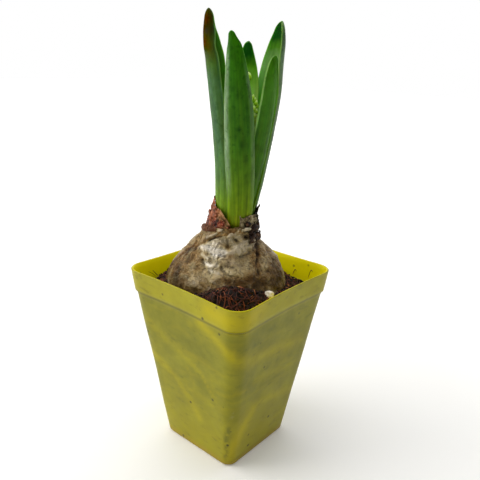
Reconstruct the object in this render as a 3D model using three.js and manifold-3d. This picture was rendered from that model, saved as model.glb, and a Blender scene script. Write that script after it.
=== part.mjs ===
// A potted hyacinth in bud: a square plastic nursery pot of coir, and in it a bulb that has sent up
// five leaves round a flower spike that is still tight and green. Sizes are in millimetres, +Z up.
//
// The pot stands square to X and Y, with the middle of its foot at the origin. The plant has a frame
// of its own, on the axis of the bulb's neck and turned about Z: its +X is the side of the leaf with
// the pale hood, and its -Y the side of the broad front leaf.

import * as THREE from 'three';
import { mergeVertices } from 'three/addons/utils/BufferGeometryUtils.js';
import Module from 'manifold-3d';

const wasm = await Module();
wasm.setup();

// Pot: outer sides are measured across the flats.
const RIM_SIDE = 76;
const POT_HEIGHT = 97;
const FOOT_SIDE = 47;
const RIM_CORNER = 10.4;
const FOOT_CORNER = 6;
const BAND_HEIGHT = 11.5;
const BAND_SIDE = 73.2;
const LEDGE_STEP = 0.75;
const WALL = 1;
const FLOOR = 1.4;
const SIDE_BOW = 1;
const EDGE_ROUND = 0.3;
const FOOT_ROUND = 1.2;
const DRAIN_RADIUS = 3.5;
const DRAIN_REACH = 12.5;
const DRAIN_SIDES = 16;

// Space left between neighbours that touch on the real thing, and the wider one round the bulb and
// its roots in the soil.
const GAP = 0.33;
const HOLLOW_GAP = 0.4;

// Soil
const SOIL_LEVEL = 85.4;
const RING_HEIGHT = 5;
const RING_WIDTH = 5;
const HEAP_HEIGHT = 7.6;
const HEAP_WIDTH = 9;
const HEAP_TURN = 8;
const HEAP_NARROWNESS = 6;
const SOIL_ROUGHNESS = 0.35;
const SOIL_SHOULDER = 1.5;
const SOIL_RING_SHARES = [1, 0.96, 0.92, 0.87, 0.81, 0.72, 0.5];

// Plant frame: the neck's axis stands this far to the right of the pot's, as seen from the front.
const PLANT_TURN = THREE.MathUtils.degToRad(39.9);
const NECK_OFFSET = 1.6;

// Bulb: [height, middle in the plant's X, radius], from the basal plate to the collar.
const BULB_RINGS = [
  [60.0, -4.1, 8.0],
  [60.8, -4.1, 13.5],
  [63.5, -4.1, 20.5],
  [68.0, -4.1, 25.8],
  [74.0, -4.1, 29.0],
  [81.0, -4.1, 30.5],
  [88.0, -4.1, 30.7],
  [93.6, -4.1, 29.9],
  [97.0, -4.0, 28.6],
  [100.5, -3.9, 26.6],
  [104.0, -3.8, 24.1],
  [107.0, -3.8, 21.2],
  [110.0, -3.8, 17.6],
  [113.3, -3.7, 14.9],
  [116.3, -3.3, 13.5],
  [119.0, -2.9, 12.9],
];
const BULB_WIDEST = 6;
const BULB_LOBE = 0.35;
const BULB_SIDES = 36;
const COLLAR_RISE = 2.8;

// Socket in the bulb's neck for the leaves, and a groove round it for the loose red skin.
const SOCKET_FLOOR = 112.8;
const SOCKET_RADIUS = 9.1;
const SOCKET_SLOPE = 0.045;
const SOCKET_MIDDLE = [0, -0.45];
const GROOVE_FLOOR = 116.8;
const GROOVE_RADIUS = 12.1;
const GROOVE_MIDDLE = [-3.1, -0.2];
const CUTTER_HEIGHT = 20;

// Roots: their paths are [outward reach, least outward, turn, share of the depth].
const ROOT_PATH = [[6.5, 0, 0, -0.08], [6.5, 1, 0, 0.15], [11, 1, 0.1, 0.55], [14, 1, 0.25, 1]];
const ROOT_LEAST_DEPTH = 14;
const ROOT_MORE_DEPTH = 30;
const ROOT_COUNT = 9;
const ROOT_RADIUS = 0.9;
const ROOT_HOLE_RADIUS = 1.5;
const ROOT_SIDES = 6;
const ROOT_STEPS = 5;

// Skins of the neck: a sheet round the neck from one angle to another (degrees).
const SKIN_THICKNESS = 0.7;
const CRUMPLE = 0.25;
const SKIN_ROWS = 4;

// Leaves
const LEAF_BASE = 113.4;
const LEAF_COLUMNS = 8;
const LEAF_ROWS = 20;
const LEAF_EDGE = 0.62;
const LEAF_TIP = 0.8;

// Flower spike
const SCAPE_RADIUS = 3.1;
const SPIKE_FOOT = 154;
const SPIKE_TOP = 194;
const SPIKE_RADIUS = 6.6;
const SPIKE_LEAN = 1;
const BUD_COUNT = 36;
const BUD_LENGTH = 8;
const BUD_RADIUS = 2.1;
const BUD_START = 2.6;
const BUD_LEAN = [17, 4];
const BUD_SHRINK = 0.6;
const GOLDEN_ANGLE = Math.PI * (3 - Math.sqrt(5));

// Perlite grain, placed in the pot's frame.
const GRAIN_RADIUS = 1.8;
const GRAIN_HEIGHT = 0.8;
const GRAIN_LUMP = 0.12;
const GRAIN_SINK = 0.05;
const GRAIN_PLACE = [30.05, -6.78];

const rad = THREE.MathUtils.degToRad;
const lerp = THREE.MathUtils.lerp;

// Closed solid through rings of equal length, with a fan to a middle point at each end. The rings run
// counterclockwise seen from above, and start at the outside of the underside.
function loft(rings, first, last) {
  const count = rings[0].length;
  const positions = [first, ...rings.flat(), last].flat();
  const index = [];
  const at = (ring, i) => 1 + ring * count + (i % count);
  const end = 1 + rings.length * count;
  for (let i = 0; i < count; i++) {
    index.push(0, at(0, i + 1), at(0, i));
    index.push(end, at(rings.length - 1, i), at(rings.length - 1, i + 1));
    for (let ring = 0; ring < rings.length - 1; ring++) {
      index.push(at(ring, i), at(ring, i + 1), at(ring + 1, i + 1));
      index.push(at(ring, i), at(ring + 1, i + 1), at(ring + 1, i));
    }
  }
  return indexed(positions, index);
}

// Closed sheet between two faces of rows x columns points, split into triangles alike on both.
function sheet(rows, columns, outer, inner) {
  const positions = [];
  for (const face of [outer, inner]) {
    for (let row = 0; row <= rows; row++) {
      for (let column = 0; column <= columns; column++) positions.push(...face(row, column));
    }
  }
  const wide = columns + 1;
  const back = (rows + 1) * wide;
  const at = (row, column) => row * wide + column;
  const index = [];
  const quad = (a, b, c, d) => index.push(a, b, c, a, c, d);
  for (let row = 0; row < rows; row++) {
    for (let column = 0; column < columns; column++) {
      const [a, b] = [at(row, column), at(row, column + 1)];
      const [c, d] = [at(row + 1, column + 1), at(row + 1, column)];
      index.push(a, b, c, a, c, d);
      index.push(back + a, back + c, back + b, back + a, back + d, back + c);
    }
    quad(at(row, 0), at(row + 1, 0), back + at(row + 1, 0), back + at(row, 0));
    quad(at(row + 1, columns), at(row, columns), back + at(row, columns), back + at(row + 1, columns));
  }
  for (let column = 0; column < columns; column++) {
    quad(at(0, column + 1), at(0, column), back + at(0, column), back + at(0, column + 1));
    quad(at(rows, column), at(rows, column + 1), back + at(rows, column + 1), back + at(rows, column));
  }
  return indexed(positions, index);
}

function indexed(positions, index) {
  const geometry = new THREE.BufferGeometry();
  geometry.setAttribute('position', new THREE.Float32BufferAttribute(positions, 3));
  geometry.setIndex(index);
  return geometry;
}

// A closed geometry as a solid that can be joined and cut.
function solid(geometry) {
  const bare = geometry.clone();
  bare.deleteAttribute('normal');
  bare.deleteAttribute('uv');
  const merged = mergeVertices(bare, 1e-4);
  return new wasm.Manifold(new wasm.Mesh({
    numProp: 3,
    vertProperties: merged.attributes.position.array,
    triVerts: Uint32Array.from(merged.index.array),
  }));
}

function geometryOf(manifold) {
  const mesh = manifold.getMesh();
  return indexed(Array.from(mesh.vertProperties), Array.from(mesh.triVerts));
}

function named(name, geometry, color, roughness) {
  geometry.computeVertexNormals();
  const mesh = new THREE.Mesh(geometry, new THREE.MeshStandardMaterial({ color, roughness, metalness: 0 }));
  mesh.name = name;
  return mesh;
}

// One ring of the pot: a square with round corners, whose sides bow in at their middles.
function squareRing(side, corner, bow, z) {
  const cornerSteps = 5;
  const sideSteps = 5;
  const half = side / 2;
  const flat = half - corner;
  const points = [];
  for (let quarter = 0; quarter < 4; quarter++) {
    const turn = quarter * Math.PI / 2;
    const place = (x, y) => [
      x * Math.cos(turn) - y * Math.sin(turn),
      x * Math.sin(turn) + y * Math.cos(turn),
      z,
    ];
    for (let i = 0; i < sideSteps; i++) {
      const along = -1 + 2 * i / sideSteps;
      points.push(place(half - bow * (1 - along * along), flat * along));
    }
    for (let i = 0; i < cornerSteps; i++) {
      const angle = Math.PI / 2 * i / cornerSteps;
      points.push(place(flat + corner * Math.cos(angle), flat + corner * Math.sin(angle)));
    }
  }
  return points;
}

// The pot's tapered body ends in a ledge, below the band of the rim.
const LEDGE_HEIGHT = POT_HEIGHT - BAND_HEIGHT;
const BODY_TOP_SIDE = BAND_SIDE - 2 * LEDGE_STEP;
const bodySide = (z) => lerp(FOOT_SIDE, BODY_TOP_SIDE, z / LEDGE_HEIGHT);

// Ring at a height, inset from the outside of the wall.
function wallRing(side, z, inset = 0) {
  const share = z / POT_HEIGHT;
  const corner = Math.max(lerp(FOOT_CORNER, RIM_CORNER, share) - inset, 1);
  return squareRing(side - 2 * inset, corner, SIDE_BOW * share, z);
}

function makePot() {
  const ledge = LEDGE_STEP / 2;
  const middle = LEDGE_HEIGHT / 2;
  const outside = [
    wallRing(bodySide(0), 0, FOOT_ROUND),
    wallRing(bodySide(0), FOOT_ROUND / 3, FOOT_ROUND / 3),
    wallRing(bodySide(FOOT_ROUND), FOOT_ROUND),
    wallRing(bodySide(middle), middle),
    wallRing(BODY_TOP_SIDE, LEDGE_HEIGHT - ledge),
    wallRing(BAND_SIDE, LEDGE_HEIGHT + ledge),
    wallRing(RIM_SIDE, POT_HEIGHT - EDGE_ROUND),
    wallRing(RIM_SIDE, POT_HEIGHT, EDGE_ROUND),
  ];
  const inside = [
    wallRing(RIM_SIDE, POT_HEIGHT, WALL - EDGE_ROUND),
    wallRing(RIM_SIDE, POT_HEIGHT - EDGE_ROUND, WALL),
    wallRing(BAND_SIDE, LEDGE_HEIGHT + ledge, WALL),
    wallRing(BODY_TOP_SIDE, LEDGE_HEIGHT - ledge, WALL),
    wallRing(bodySide(middle), middle, WALL),
    wallRing(bodySide(FLOOR + FOOT_ROUND), FLOOR + FOOT_ROUND, WALL),
    wallRing(bodySide(FLOOR), FLOOR, WALL + FOOT_ROUND),
  ];
  let pot = solid(loft([...outside, ...inside], [0, 0, 0], [0, 0, FLOOR]));
  for (const [x, y] of [[1, 1], [-1, 1], [-1, -1], [1, -1]]) {
    const drain = new THREE.CylinderGeometry(DRAIN_RADIUS, DRAIN_RADIUS, 4 * FLOOR, DRAIN_SIDES);
    drain.rotateX(Math.PI / 2);
    drain.translate(x * DRAIN_REACH, y * DRAIN_REACH, 0);
    pot = pot.subtract(solid(drain));
  }
  return named('pot', geometryOf(pot), 0xa8a52c, 0.45);
}

// Soft lobes of the bulb: a share of its radius at an angle and height, fading to none at the ends.
function bulbLobe(angle, z) {
  const rise = (z - BULB_RINGS[0][0]) / (BULB_RINGS.at(-1)[0] - BULB_RINGS[0][0]);
  const fade = Math.sin(Math.PI * Math.min(1, 1.15 * rise));
  const wave = Math.cos(3 * angle + 0.6 + 2 * rise) + 0.7 * Math.cos(5 * angle - 1.2 - 3 * rise);
  return BULB_LOBE * fade * wave;
}

// The bulb's body in the plant's frame, swollen by a margin for the hollow that holds it.
function bulbBody(margin) {
  const [widest] = BULB_RINGS[BULB_WIDEST];
  const rings = BULB_RINGS.map(([z, x, radius]) => {
    const ring = [];
    for (let i = 0; i < BULB_SIDES; i++) {
      const angle = 2 * Math.PI * i / BULB_SIDES;
      const reach = radius + bulbLobe(angle, z) + margin;
      const height = z + margin * Math.sign(z - widest);
      ring.push([x + reach * Math.cos(angle), reach * Math.sin(angle), height]);
    }
    return ring;
  });
  const [bottom, bottomX] = BULB_RINGS[0];
  const [top, topX, collar] = BULB_RINGS.at(-1);
  for (const point of rings.at(-1)) point[2] += COLLAR_RISE * Math.max(0, -point[1] / collar);
  return solid(loft(rings, [bottomX, 0, bottom - margin], [topX, 0, top]));
}

// Curves of the roots, fanned out under the basal plate.
function rootCurves() {
  const [plate, middle] = BULB_RINGS[0];
  const curves = [];
  for (let i = 0; i < ROOT_COUNT; i++) {
    const angle = i * GOLDEN_ANGLE;
    const reach = Math.sqrt((i + 0.5) / ROOT_COUNT);
    const depth = ROOT_LEAST_DEPTH + ROOT_MORE_DEPTH * Math.abs(Math.sin(2.3 * i + 1));
    const points = ROOT_PATH.map(([outward, least, turn, share]) => {
      const radius = outward * reach + least;
      const [x, y] = [Math.cos(angle + turn), Math.sin(angle + turn)];
      return new THREE.Vector3(middle + radius * x, radius * y, plate - share * depth);
    });
    curves.push(new THREE.CatmullRomCurve3(points));
  }
  return curves;
}

function rootTube(curve, radius) {
  const section = new THREE.Shape();
  for (let i = 0; i < ROOT_SIDES; i++) {
    const angle = 2 * Math.PI * i / ROOT_SIDES;
    const move = i === 0 ? 'moveTo' : 'lineTo';
    section[move](radius * Math.cos(angle), radius * Math.sin(angle));
  }
  const options = { steps: ROOT_STEPS, bevelEnabled: false, extrudePath: curve };
  return solid(new THREE.ExtrudeGeometry(section, options));
}

// A torn skin standing round the neck, as a crumpled sheet. The shape gives its middle, its angles,
// its foot, its radius at an angle and height, and its torn top edge.
function neckSkin(shape) {
  const face = (side) => (row, column) => {
    const turn = column / shape.columns;
    const angle = rad(lerp(shape.from, shape.to, turn));
    const z = lerp(shape.foot, shape.top(turn), row / SKIN_ROWS);
    const crumple = CRUMPLE * (1 + Math.sin(9 * angle + 2.2 * row)) * Math.min(1, row / 2);
    const radius = shape.radius(angle, z) + crumple + side * SKIN_THICKNESS / 2;
    return [shape.middle[0] + radius * Math.cos(angle), shape.middle[1] + radius * Math.sin(angle), z];
  };
  return sheet(SKIN_ROWS, shape.columns, face(1), face(-1));
}

// Heights of a torn edge, read off a list of [share of the way round, height].
function tornEdge(points) {
  return (turn) => {
    const next = points.findIndex(([share]) => share >= turn);
    if (next <= 0) return points[0][1];
    const [[fromShare, fromHeight], [toShare, toHeight]] = [points[next - 1], points[next]];
    return lerp(fromHeight, toHeight, (turn - fromShare) / (toShare - fromShare));
  };
}

const GREY_SKIN = {
  middle: [-1.4, -0.3],
  from: -74,
  to: 66,
  columns: 20,
  foot: 115.6,
  radius: (angle, z) => 11.5 + 0.3 * Math.cos(angle) + 0.02 * (z - 117),
  top: tornEdge([[0, 127.4], [0.1, 124.2], [0.2, 127], [0.3, 125.4], [0.4, 128.4], [0.5, 126.4],
    [0.6, 128.4], [0.7, 124.4], [0.85, 125.6], [1, 120.4]]),
};

const RED_SKIN = {
  middle: [-3.1, -0.2],
  from: -264,
  to: -93,
  columns: 24,
  foot: GROOVE_FLOOR + GAP,
  radius: (angle, z) => 11 - 0.19 * Math.max(0, -Math.cos(angle)) * (z - 117),
  top: tornEdge([[0, 120.6], [0.12, 123.4], [0.25, 125.8], [0.4, 131], [0.5, 134], [0.62, 131.4],
    [0.75, 130.2], [0.88, 127.6], [1, 121.8]]),
};

function makeBulb() {
  const mouth = SOCKET_RADIUS + SOCKET_SLOPE * CUTTER_HEIGHT;
  const socket = new THREE.CylinderGeometry(mouth, SOCKET_RADIUS, CUTTER_HEIGHT, BULB_SIDES);
  socket.rotateX(Math.PI / 2);
  socket.translate(...SOCKET_MIDDLE, SOCKET_FLOOR + CUTTER_HEIGHT / 2);
  const groove = new THREE.CylinderGeometry(GROOVE_RADIUS, GROOVE_RADIUS, CUTTER_HEIGHT, BULB_SIDES);
  groove.rotateX(Math.PI / 2);
  groove.translate(...GROOVE_MIDDLE, GROOVE_FLOOR + CUTTER_HEIGHT / 2);
  let bulb = bulbBody(0).subtract(solid(socket)).subtract(solid(groove));
  bulb = bulb.add(solid(neckSkin(GREY_SKIN)));
  for (const curve of rootCurves()) bulb = bulb.add(rootTube(curve, ROOT_RADIUS));
  return named('bulb', geometryOf(bulb), 0x8a7a60, 0.6);
}

// A leaf follows stations [x, y, z, the angle its back faces, radius of its channel, half its width
// round the channel]. It is a channel, thickest at its keel, that closes to a hooded tip.
function makeLeaf(name, base, stations, color) {
  const keel = new THREE.CatmullRomCurve3(stations.map(([x, y, z]) => new THREE.Vector3(x, y, z)));
  const form = new THREE.CatmullRomCurve3(
    stations.map(([, , , facing, radius, half]) => new THREE.Vector3(facing, 10 * radius, 10 * half)),
  );
  const sections = [];
  for (let row = 0; row <= LEAF_ROWS; row++) {
    const share = row / LEAF_ROWS;
    const middle = keel.getPoint(share);
    const along = keel.getTangent(share);
    const shape = form.getPoint(share);
    const facing = rad(shape.x);
    const out = new THREE.Vector3(Math.cos(facing), Math.sin(facing), 0);
    out.addScaledVector(along, -out.dot(along)).normalize();
    const across = new THREE.Vector3().crossVectors(along, out);
    const thick = lerp(base, LEAF_TIP, share);
    sections.push({ middle, out, across, radius: shape.y / 10, half: shape.z / 10, thick });
  }
  const face = (side) => (row, column) => {
    const { middle, out, across, radius, half, thick } = sections[row];
    const share = 2 * column / LEAF_COLUMNS - 1;
    const angle = share * half / radius;
    const depth = lerp(thick, LEAF_EDGE, share * share);
    const reach = radius + side * depth / 2;
    const point = middle.clone();
    point.addScaledVector(out, reach * Math.cos(angle) - radius);
    point.addScaledVector(across, reach * Math.sin(angle));
    return point.toArray();
  };
  return named(name, sheet(LEAF_ROWS, LEAF_COLUMNS, face(1), face(-1)), color, 0.5);
}

const FRONT_LEAF = [
  [1.1, -8.1, LEAF_BASE, -82, 8.15, 7.0],
  [1.7, -9.5, 127, -84, 8.6, 6.6],
  [1.6, -11.1, 140, -86, 8.6, 7.2],
  [0.6, -12.3, 157, -88, 8.4, 8.0],
  [-0.7, -13.1, 176, -90, 8.0, 7.6],
  [-2.2, -13.3, 192, -92, 6.8, 5.6],
  [-3.5, -12.7, 203, -94, 4.8, 3.6],
  [-4.4, -12.2, 206, -94, 3.6, 2.0],
  [-4.9, -11.8, 207.9, -94, 2.6, 1.0],
  [-5.1, -11.5, 209, -94, 2.0, 0.45],
];

const LEFT_LEAF = [
  [-6.2, -1.65, LEAF_BASE, -165, 6.4, 6.7],
  [-8.7, -1.5, 127, -168, 7.0, 8.4],
  [-9.8, -1.2, 137, -170, 7.4, 9.8],
  [-10.75, -0.8, 152, -175, 7.6, 10.8],
  [-12.55, -0.5, 169, -180, 7.6, 11.2],
  [-14.55, -0.1, 186, -186, 7.2, 11.0],
  [-16.05, 0.5, 197, -190, 6.2, 10.6],
  [-16.9, 0.5, 203, -190, 5.6, 9.4],
  [-17.4, 0, 209, -182, 4.4, 8.0],
  [-17.0, 0, 214, -180, 2.8, 5.9],
  [-16.5, 0, 216.3, -180, 2.5, 5.2],
  [-15.9, 0, 217.5, -180, 2.1, 3.9],
  [-15.1, 0, 218.1, -180, 1.7, 2.0],
  [-14.7, 0, 218.3, -180, 1.3, 0.8],
];

const BACK_LEAF = [
  [0, 4.6, LEAF_BASE, 90, 4.6, 4.2],
  [0.2, 5.2, 127, 90, 5.0, 4.9],
  [0.4, 6.0, 137, 90, 5.4, 5.4],
  [0.5, 7.1, 152, 90, 6.0, 6.0],
  [1.1, 8.3, 169, 90, 6.9, 7.0],
  [1.8, 8.7, 184, 90, 7.0, 7.15],
  [2.0, 8.8, 193, 89, 6.4, 5.6],
  [2.2, 8.6, 200, 88, 4.4, 3.5],
  [2.5, 8.2, 203.6, 88, 2.8, 1.7],
  [2.6, 7.8, 205.2, 88, 2.0, 0.5],
];

const RIGHT_OUTER_LEAF = [
  [5.5, 3.2, LEAF_BASE, 30, 6.4, 6.7],
  [7.1, 4.7, 127, 38, 7.0, 8.0],
  [8.9, 5.4, 137, 42, 7.3, 8.8],
  [11.15, 5.7, 149.5, 42, 7.6, 8.9],
  [13.7, 5.9, 166, 42, 7.7, 9.0],
  [15.8, 5.7, 183, 42.6, 7.6, 9.2],
  [17.0, 4.5, 195, 36, 6.6, 8.5],
  [17.4, 3.6, 201, 31, 5.8, 7.8],
  [17.5, 2.95, 206, 29, 5.0, 6.7],
  [17.05, 2.05, 211, 25, 3.4, 4.2],
  [16.9, 1.3, 213, 18, 2.0, 2.2],
  [16.7, 0.9, 213.9, 16, 1.5, 0.7],
];

const RIGHT_INNER_LEAF = [
  [3.25, -3.25, LEAF_BASE, -45, 4.6, 4.6],
  [5.1, -4.0, 127, -47, 5.2, 5.0],
  [6.9, -4.8, 137, -50, 5.8, 5.4],
  [9.1, -5.7, 149.5, -52, 6.4, 5.5],
  [11.6, -6.2, 166, -52, 6.6, 5.8],
  [13.3, -6.03, 181, -52, 6.8, 5.3],
  [13.88, -5.5, 190, -54, 5.6, 4.35],
  [14.35, -4.8, 196, -56, 3.8, 2.5],
  [14.75, -4.3, 198.4, -56, 2.6, 1.4],
  [15.0, -4.0, 199.3, -56, 1.8, 0.5],
];

// The spike's middle line leans a little to the right, and its outline swells and closes.
const spikeX = (z) => SPIKE_LEAN * Math.max(0, (z - SPIKE_FOOT) / (SPIKE_TOP - SPIKE_FOOT));

function budGeometry() {
  const profile = [[0, 0], [0.62, 0.12], [1, 0.42], [0.8, 0.78], [0, 1]];
  const points = profile.map(([r, z]) => new THREE.Vector2(r * BUD_RADIUS, z * BUD_LENGTH));
  const bud = new THREE.LatheGeometry(points, 6);
  bud.rotateX(Math.PI / 2);
  return bud;
}

function makeSpike() {
  const profile = [
    [0, LEAF_BASE],
    [SCAPE_RADIUS, LEAF_BASE],
    [SCAPE_RADIUS, SPIKE_FOOT - 2],
    [SPIKE_RADIUS * 0.5, SPIKE_FOOT + 5],
    [SPIKE_RADIUS * 0.55, SPIKE_TOP - 16],
    [SPIKE_RADIUS * 0.3, SPIKE_TOP - 5],
    [0, SPIKE_TOP - 2],
  ];
  const core = new THREE.LatheGeometry(profile.map(([r, z]) => new THREE.Vector2(r, z)), 16);
  core.rotateX(Math.PI / 2);
  const places = core.attributes.position;
  for (let i = 0; i < places.count; i++) places.setX(i, places.getX(i) + spikeX(places.getZ(i)));
  let spike = solid(core);
  for (let i = 0; i < BUD_COUNT; i++) {
    const share = i / (BUD_COUNT - 1);
    const angle = i * GOLDEN_ANGLE;
    const root = lerp(SPIKE_FOOT, SPIKE_TOP - BUD_LENGTH, share);
    const size = lerp(1, BUD_SHRINK, share * share);
    const lean = rad(lerp(...BUD_LEAN, share ** 3));
    const bud = budGeometry();
    bud.scale(size, size, size);
    bud.rotateY(lean);
    bud.translate(BUD_START * (1 - share ** 4), 0, root);
    bud.rotateZ(angle);
    bud.translate(spikeX(root), 0, 0);
    spike = spike.add(solid(bud));
  }
  return named('flower_spike', geometryOf(spike), 0x8fae3a, 0.5);
}

// Where the bulb stands in the pot's frame.
const plantFrame = new THREE.Matrix4().makeRotationZ(PLANT_TURN);
plantFrame.setPosition(NECK_OFFSET * Math.cos(PLANT_TURN), NECK_OFFSET * Math.sin(PLANT_TURN), 0);
const bulbMiddle = new THREE.Vector3(BULB_RINGS[BULB_WIDEST][1], 0, 0).applyMatrix4(plantFrame);
const heapTurn = PLANT_TURN + rad(HEAP_TURN);
const heapSide = new THREE.Vector2(Math.sin(heapTurn), -Math.cos(heapTurn));

// Height of the soil: a low ring round the bulb, a heap on the bulb's front, and a rough surface.
function soilHeight(x, y) {
  const away = new THREE.Vector2(x - bulbMiddle.x, y - bulbMiddle.y);
  const outside = Math.max(0, away.length() - BULB_RINGS[BULB_WIDEST][2]);
  const facing = Math.max(0, away.clone().normalize().dot(heapSide));
  const ring = RING_HEIGHT * Math.exp(-((outside / RING_WIDTH) ** 2));
  const heap = HEAP_HEIGHT * facing ** HEAP_NARROWNESS * Math.exp(-((outside / HEAP_WIDTH) ** 2));
  const rough = Math.sin(0.9 * x + 1.3) * Math.cos(1.1 * y) + 0.6 * Math.sin(1.7 * y - 0.8 * x);
  return SOIL_LEVEL + ring + heap + SOIL_ROUGHNESS * rough;
}

function makeSoil() {
  const inset = WALL + GAP;
  const bottom = FLOOR + GAP;
  const shoulder = LEDGE_HEIGHT - SOIL_SHOULDER;
  const rings = [
    wallRing(bodySide(bottom), bottom, inset + FOOT_ROUND + GAP),
    wallRing(bodySide(bottom + FOOT_ROUND), bottom + FOOT_ROUND, inset + GAP),
    wallRing(bodySide(shoulder), shoulder, inset),
  ];
  const edge = wallRing(bodySide(shoulder), shoulder, inset);
  for (const share of SOIL_RING_SHARES) {
    rings.push(edge.map(([x, y]) => [x * share, y * share, soilHeight(x * share, y * share)]));
  }
  let soil = solid(loft(rings, [0, 0, bottom], [0, 0, soilHeight(0, 0)]));
  let hollow = bulbBody(HOLLOW_GAP);
  for (const curve of rootCurves()) {
    const tip = curve.points.at(-1);
    tip.addScaledVector(curve.getTangent(1), HOLLOW_GAP);
    hollow = hollow.add(rootTube(curve, ROOT_HOLE_RADIUS));
  }
  soil = soil.subtract(hollow.transform(plantFrame.elements));
  return named('soil', geometryOf(soil), 0x3a2416, 0.95);
}

function makeGrain() {
  const grain = mergeVertices(new THREE.IcosahedronGeometry(GRAIN_RADIUS, 1).deleteAttribute('normal')
    .deleteAttribute('uv'), 1e-4);
  const places = grain.attributes.position;
  for (let i = 0; i < places.count; i++) {
    const [x, y, z] = [places.getX(i), places.getY(i), places.getZ(i)];
    const swell = 1 + GRAIN_LUMP * Math.sin(5 * x + 3 * y);
    places.setXYZ(i, x * swell, y * swell, z * swell * GRAIN_HEIGHT);
  }
  const [x, y] = GRAIN_PLACE;
  grain.translate(x, y, soilHeight(x, y) + GRAIN_RADIUS - GRAIN_SINK);
  return named('perlite_grain', grain, 0xd8cdb8, 0.9);
}

const plant = new THREE.Group();
plant.rotation.z = PLANT_TURN;
plant.position.setFromMatrixPosition(plantFrame);
plant.add(
  makeBulb(),
  named('neck_skin_red', neckSkin(RED_SKIN), 0x8a4a38, 0.7),
  makeLeaf('leaf_front', 1.5, FRONT_LEAF, 0x3f6d22),
  makeLeaf('leaf_left', 1.4, LEFT_LEAF, 0x3f6b33),
  makeLeaf('leaf_back', 1.3, BACK_LEAF, 0x4a7a26),
  makeLeaf('leaf_right_outer', 1.4, RIGHT_OUTER_LEAF, 0x3f6d30),
  makeLeaf('leaf_right_inner', 1.3, RIGHT_INNER_LEAF, 0x3a6a24),
  makeSpike(),
);

const group = new THREE.Group();
group.add(makePot(), makeSoil(), makeGrain(), plant);

export default group;
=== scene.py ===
# %% [markdown]
# # A potted hyacinth in bud
#
# The real thing is a hyacinth that was forced indoors: a papery bulb half sunk in coir, in a square
# nursery pot of marbled plastic, with five thick leaves round a flower spike that is still green.
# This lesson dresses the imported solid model, the frame, with pieces that have the real surfaces.
# Each piece is made near a solid of the frame, stands for it, and gets a finish made of nodes.

# %% Loading the frame
import functools
import math
import random

import bpy
from mathutils import Matrix, Vector, noise


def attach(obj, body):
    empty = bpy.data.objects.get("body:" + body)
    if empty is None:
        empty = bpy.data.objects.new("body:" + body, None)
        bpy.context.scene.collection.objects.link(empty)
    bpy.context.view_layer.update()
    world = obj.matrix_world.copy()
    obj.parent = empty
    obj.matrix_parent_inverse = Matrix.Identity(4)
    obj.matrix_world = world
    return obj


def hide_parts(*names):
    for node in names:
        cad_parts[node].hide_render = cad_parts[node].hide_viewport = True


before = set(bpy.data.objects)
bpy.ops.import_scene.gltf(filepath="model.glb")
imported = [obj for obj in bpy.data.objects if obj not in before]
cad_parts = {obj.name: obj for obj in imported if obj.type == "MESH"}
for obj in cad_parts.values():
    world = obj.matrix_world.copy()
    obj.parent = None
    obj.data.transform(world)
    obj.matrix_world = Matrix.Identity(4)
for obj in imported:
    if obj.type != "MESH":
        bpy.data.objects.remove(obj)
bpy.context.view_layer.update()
print("frame nodes:", sorted(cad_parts))

# %% [markdown]
# ## Tools for the bench
#
# Sizes are easiest to read in millimetres, so tables are in millimetres and MM turns them to metres.
# An operator acts on everything that is selected, so a new primitive is only added after
# everything else is let go.

# %% Adding, shaping and joining
MM = 0.001


def let_go():
    if bpy.context.object and bpy.context.object.mode != "OBJECT":
        bpy.ops.object.mode_set(mode="OBJECT")
    bpy.ops.object.select_all(action="DESELECT")


def take(piece):
    let_go()
    piece.select_set(True)
    bpy.context.view_layer.objects.active = piece


def added(primitive, name, **settings):
    let_go()
    primitive(**settings)
    piece = bpy.context.object
    piece.name = name
    piece.data.name = name
    return piece


def modified(piece, kind, **settings):
    """Adds a modifier with its settings and applies it."""
    take(piece)
    modifier = piece.modifiers.new(kind.title(), kind)
    for setting, value in settings.items():
        setattr(modifier, setting, value)
    bpy.ops.object.modifier_apply(modifier=modifier.name)


def pulled(move, ratio, centre=(0, 0, 0)):
    """Extrudes what is selected by a move in mm and scales it round a centre."""
    bpy.ops.mesh.extrude_region_move(TRANSFORM_OT_translate={"value": Vector(move) * MM})
    bpy.ops.transform.resize(value=(ratio, ratio, 1), center_override=centre)


def turned_out():
    """Turns all faces outwards and ends the editing."""
    bpy.ops.mesh.select_all(action="SELECT")
    bpy.ops.mesh.normals_make_consistent(inside=False)
    bpy.ops.object.mode_set(mode="OBJECT")


def smoothed(piece, sharp=None):
    """Shades a piece smooth, up to edges sharper than an angle in degrees."""
    take(piece)
    if sharp:
        bpy.ops.object.shade_smooth_by_angle(angle=math.radians(sharp))
    else:
        bpy.ops.object.shade_smooth()


def joined(pieces, name):
    let_go()
    for piece in pieces:
        piece.select_set(True)
    bpy.context.view_layer.objects.active = pieces[0]
    bpy.ops.object.join()
    pieces[0].name = name
    return pieces[0]


def marked(piece, name, values):
    """Keeps one number for each point of the mesh, for a material to read."""
    attribute = piece.data.attributes.new(name, "FLOAT", "POINT")
    attribute.data.foreach_set("value", values)


def mix(a, b, share):
    return a + (b - a) * share


def step(low, high, value):
    """A smooth rise from 0 at low to 1 at high."""
    share = min(1, max(0, (value - low) / (high - low)))
    return share * share * (3 - 2 * share)


# %% [markdown]
# ## Smooth tables
#
# The shapes were measured as a few stations along each piece. A curve through the stations, with the
# slope at each one taken from its neighbours, gives the sizes in between.


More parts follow.
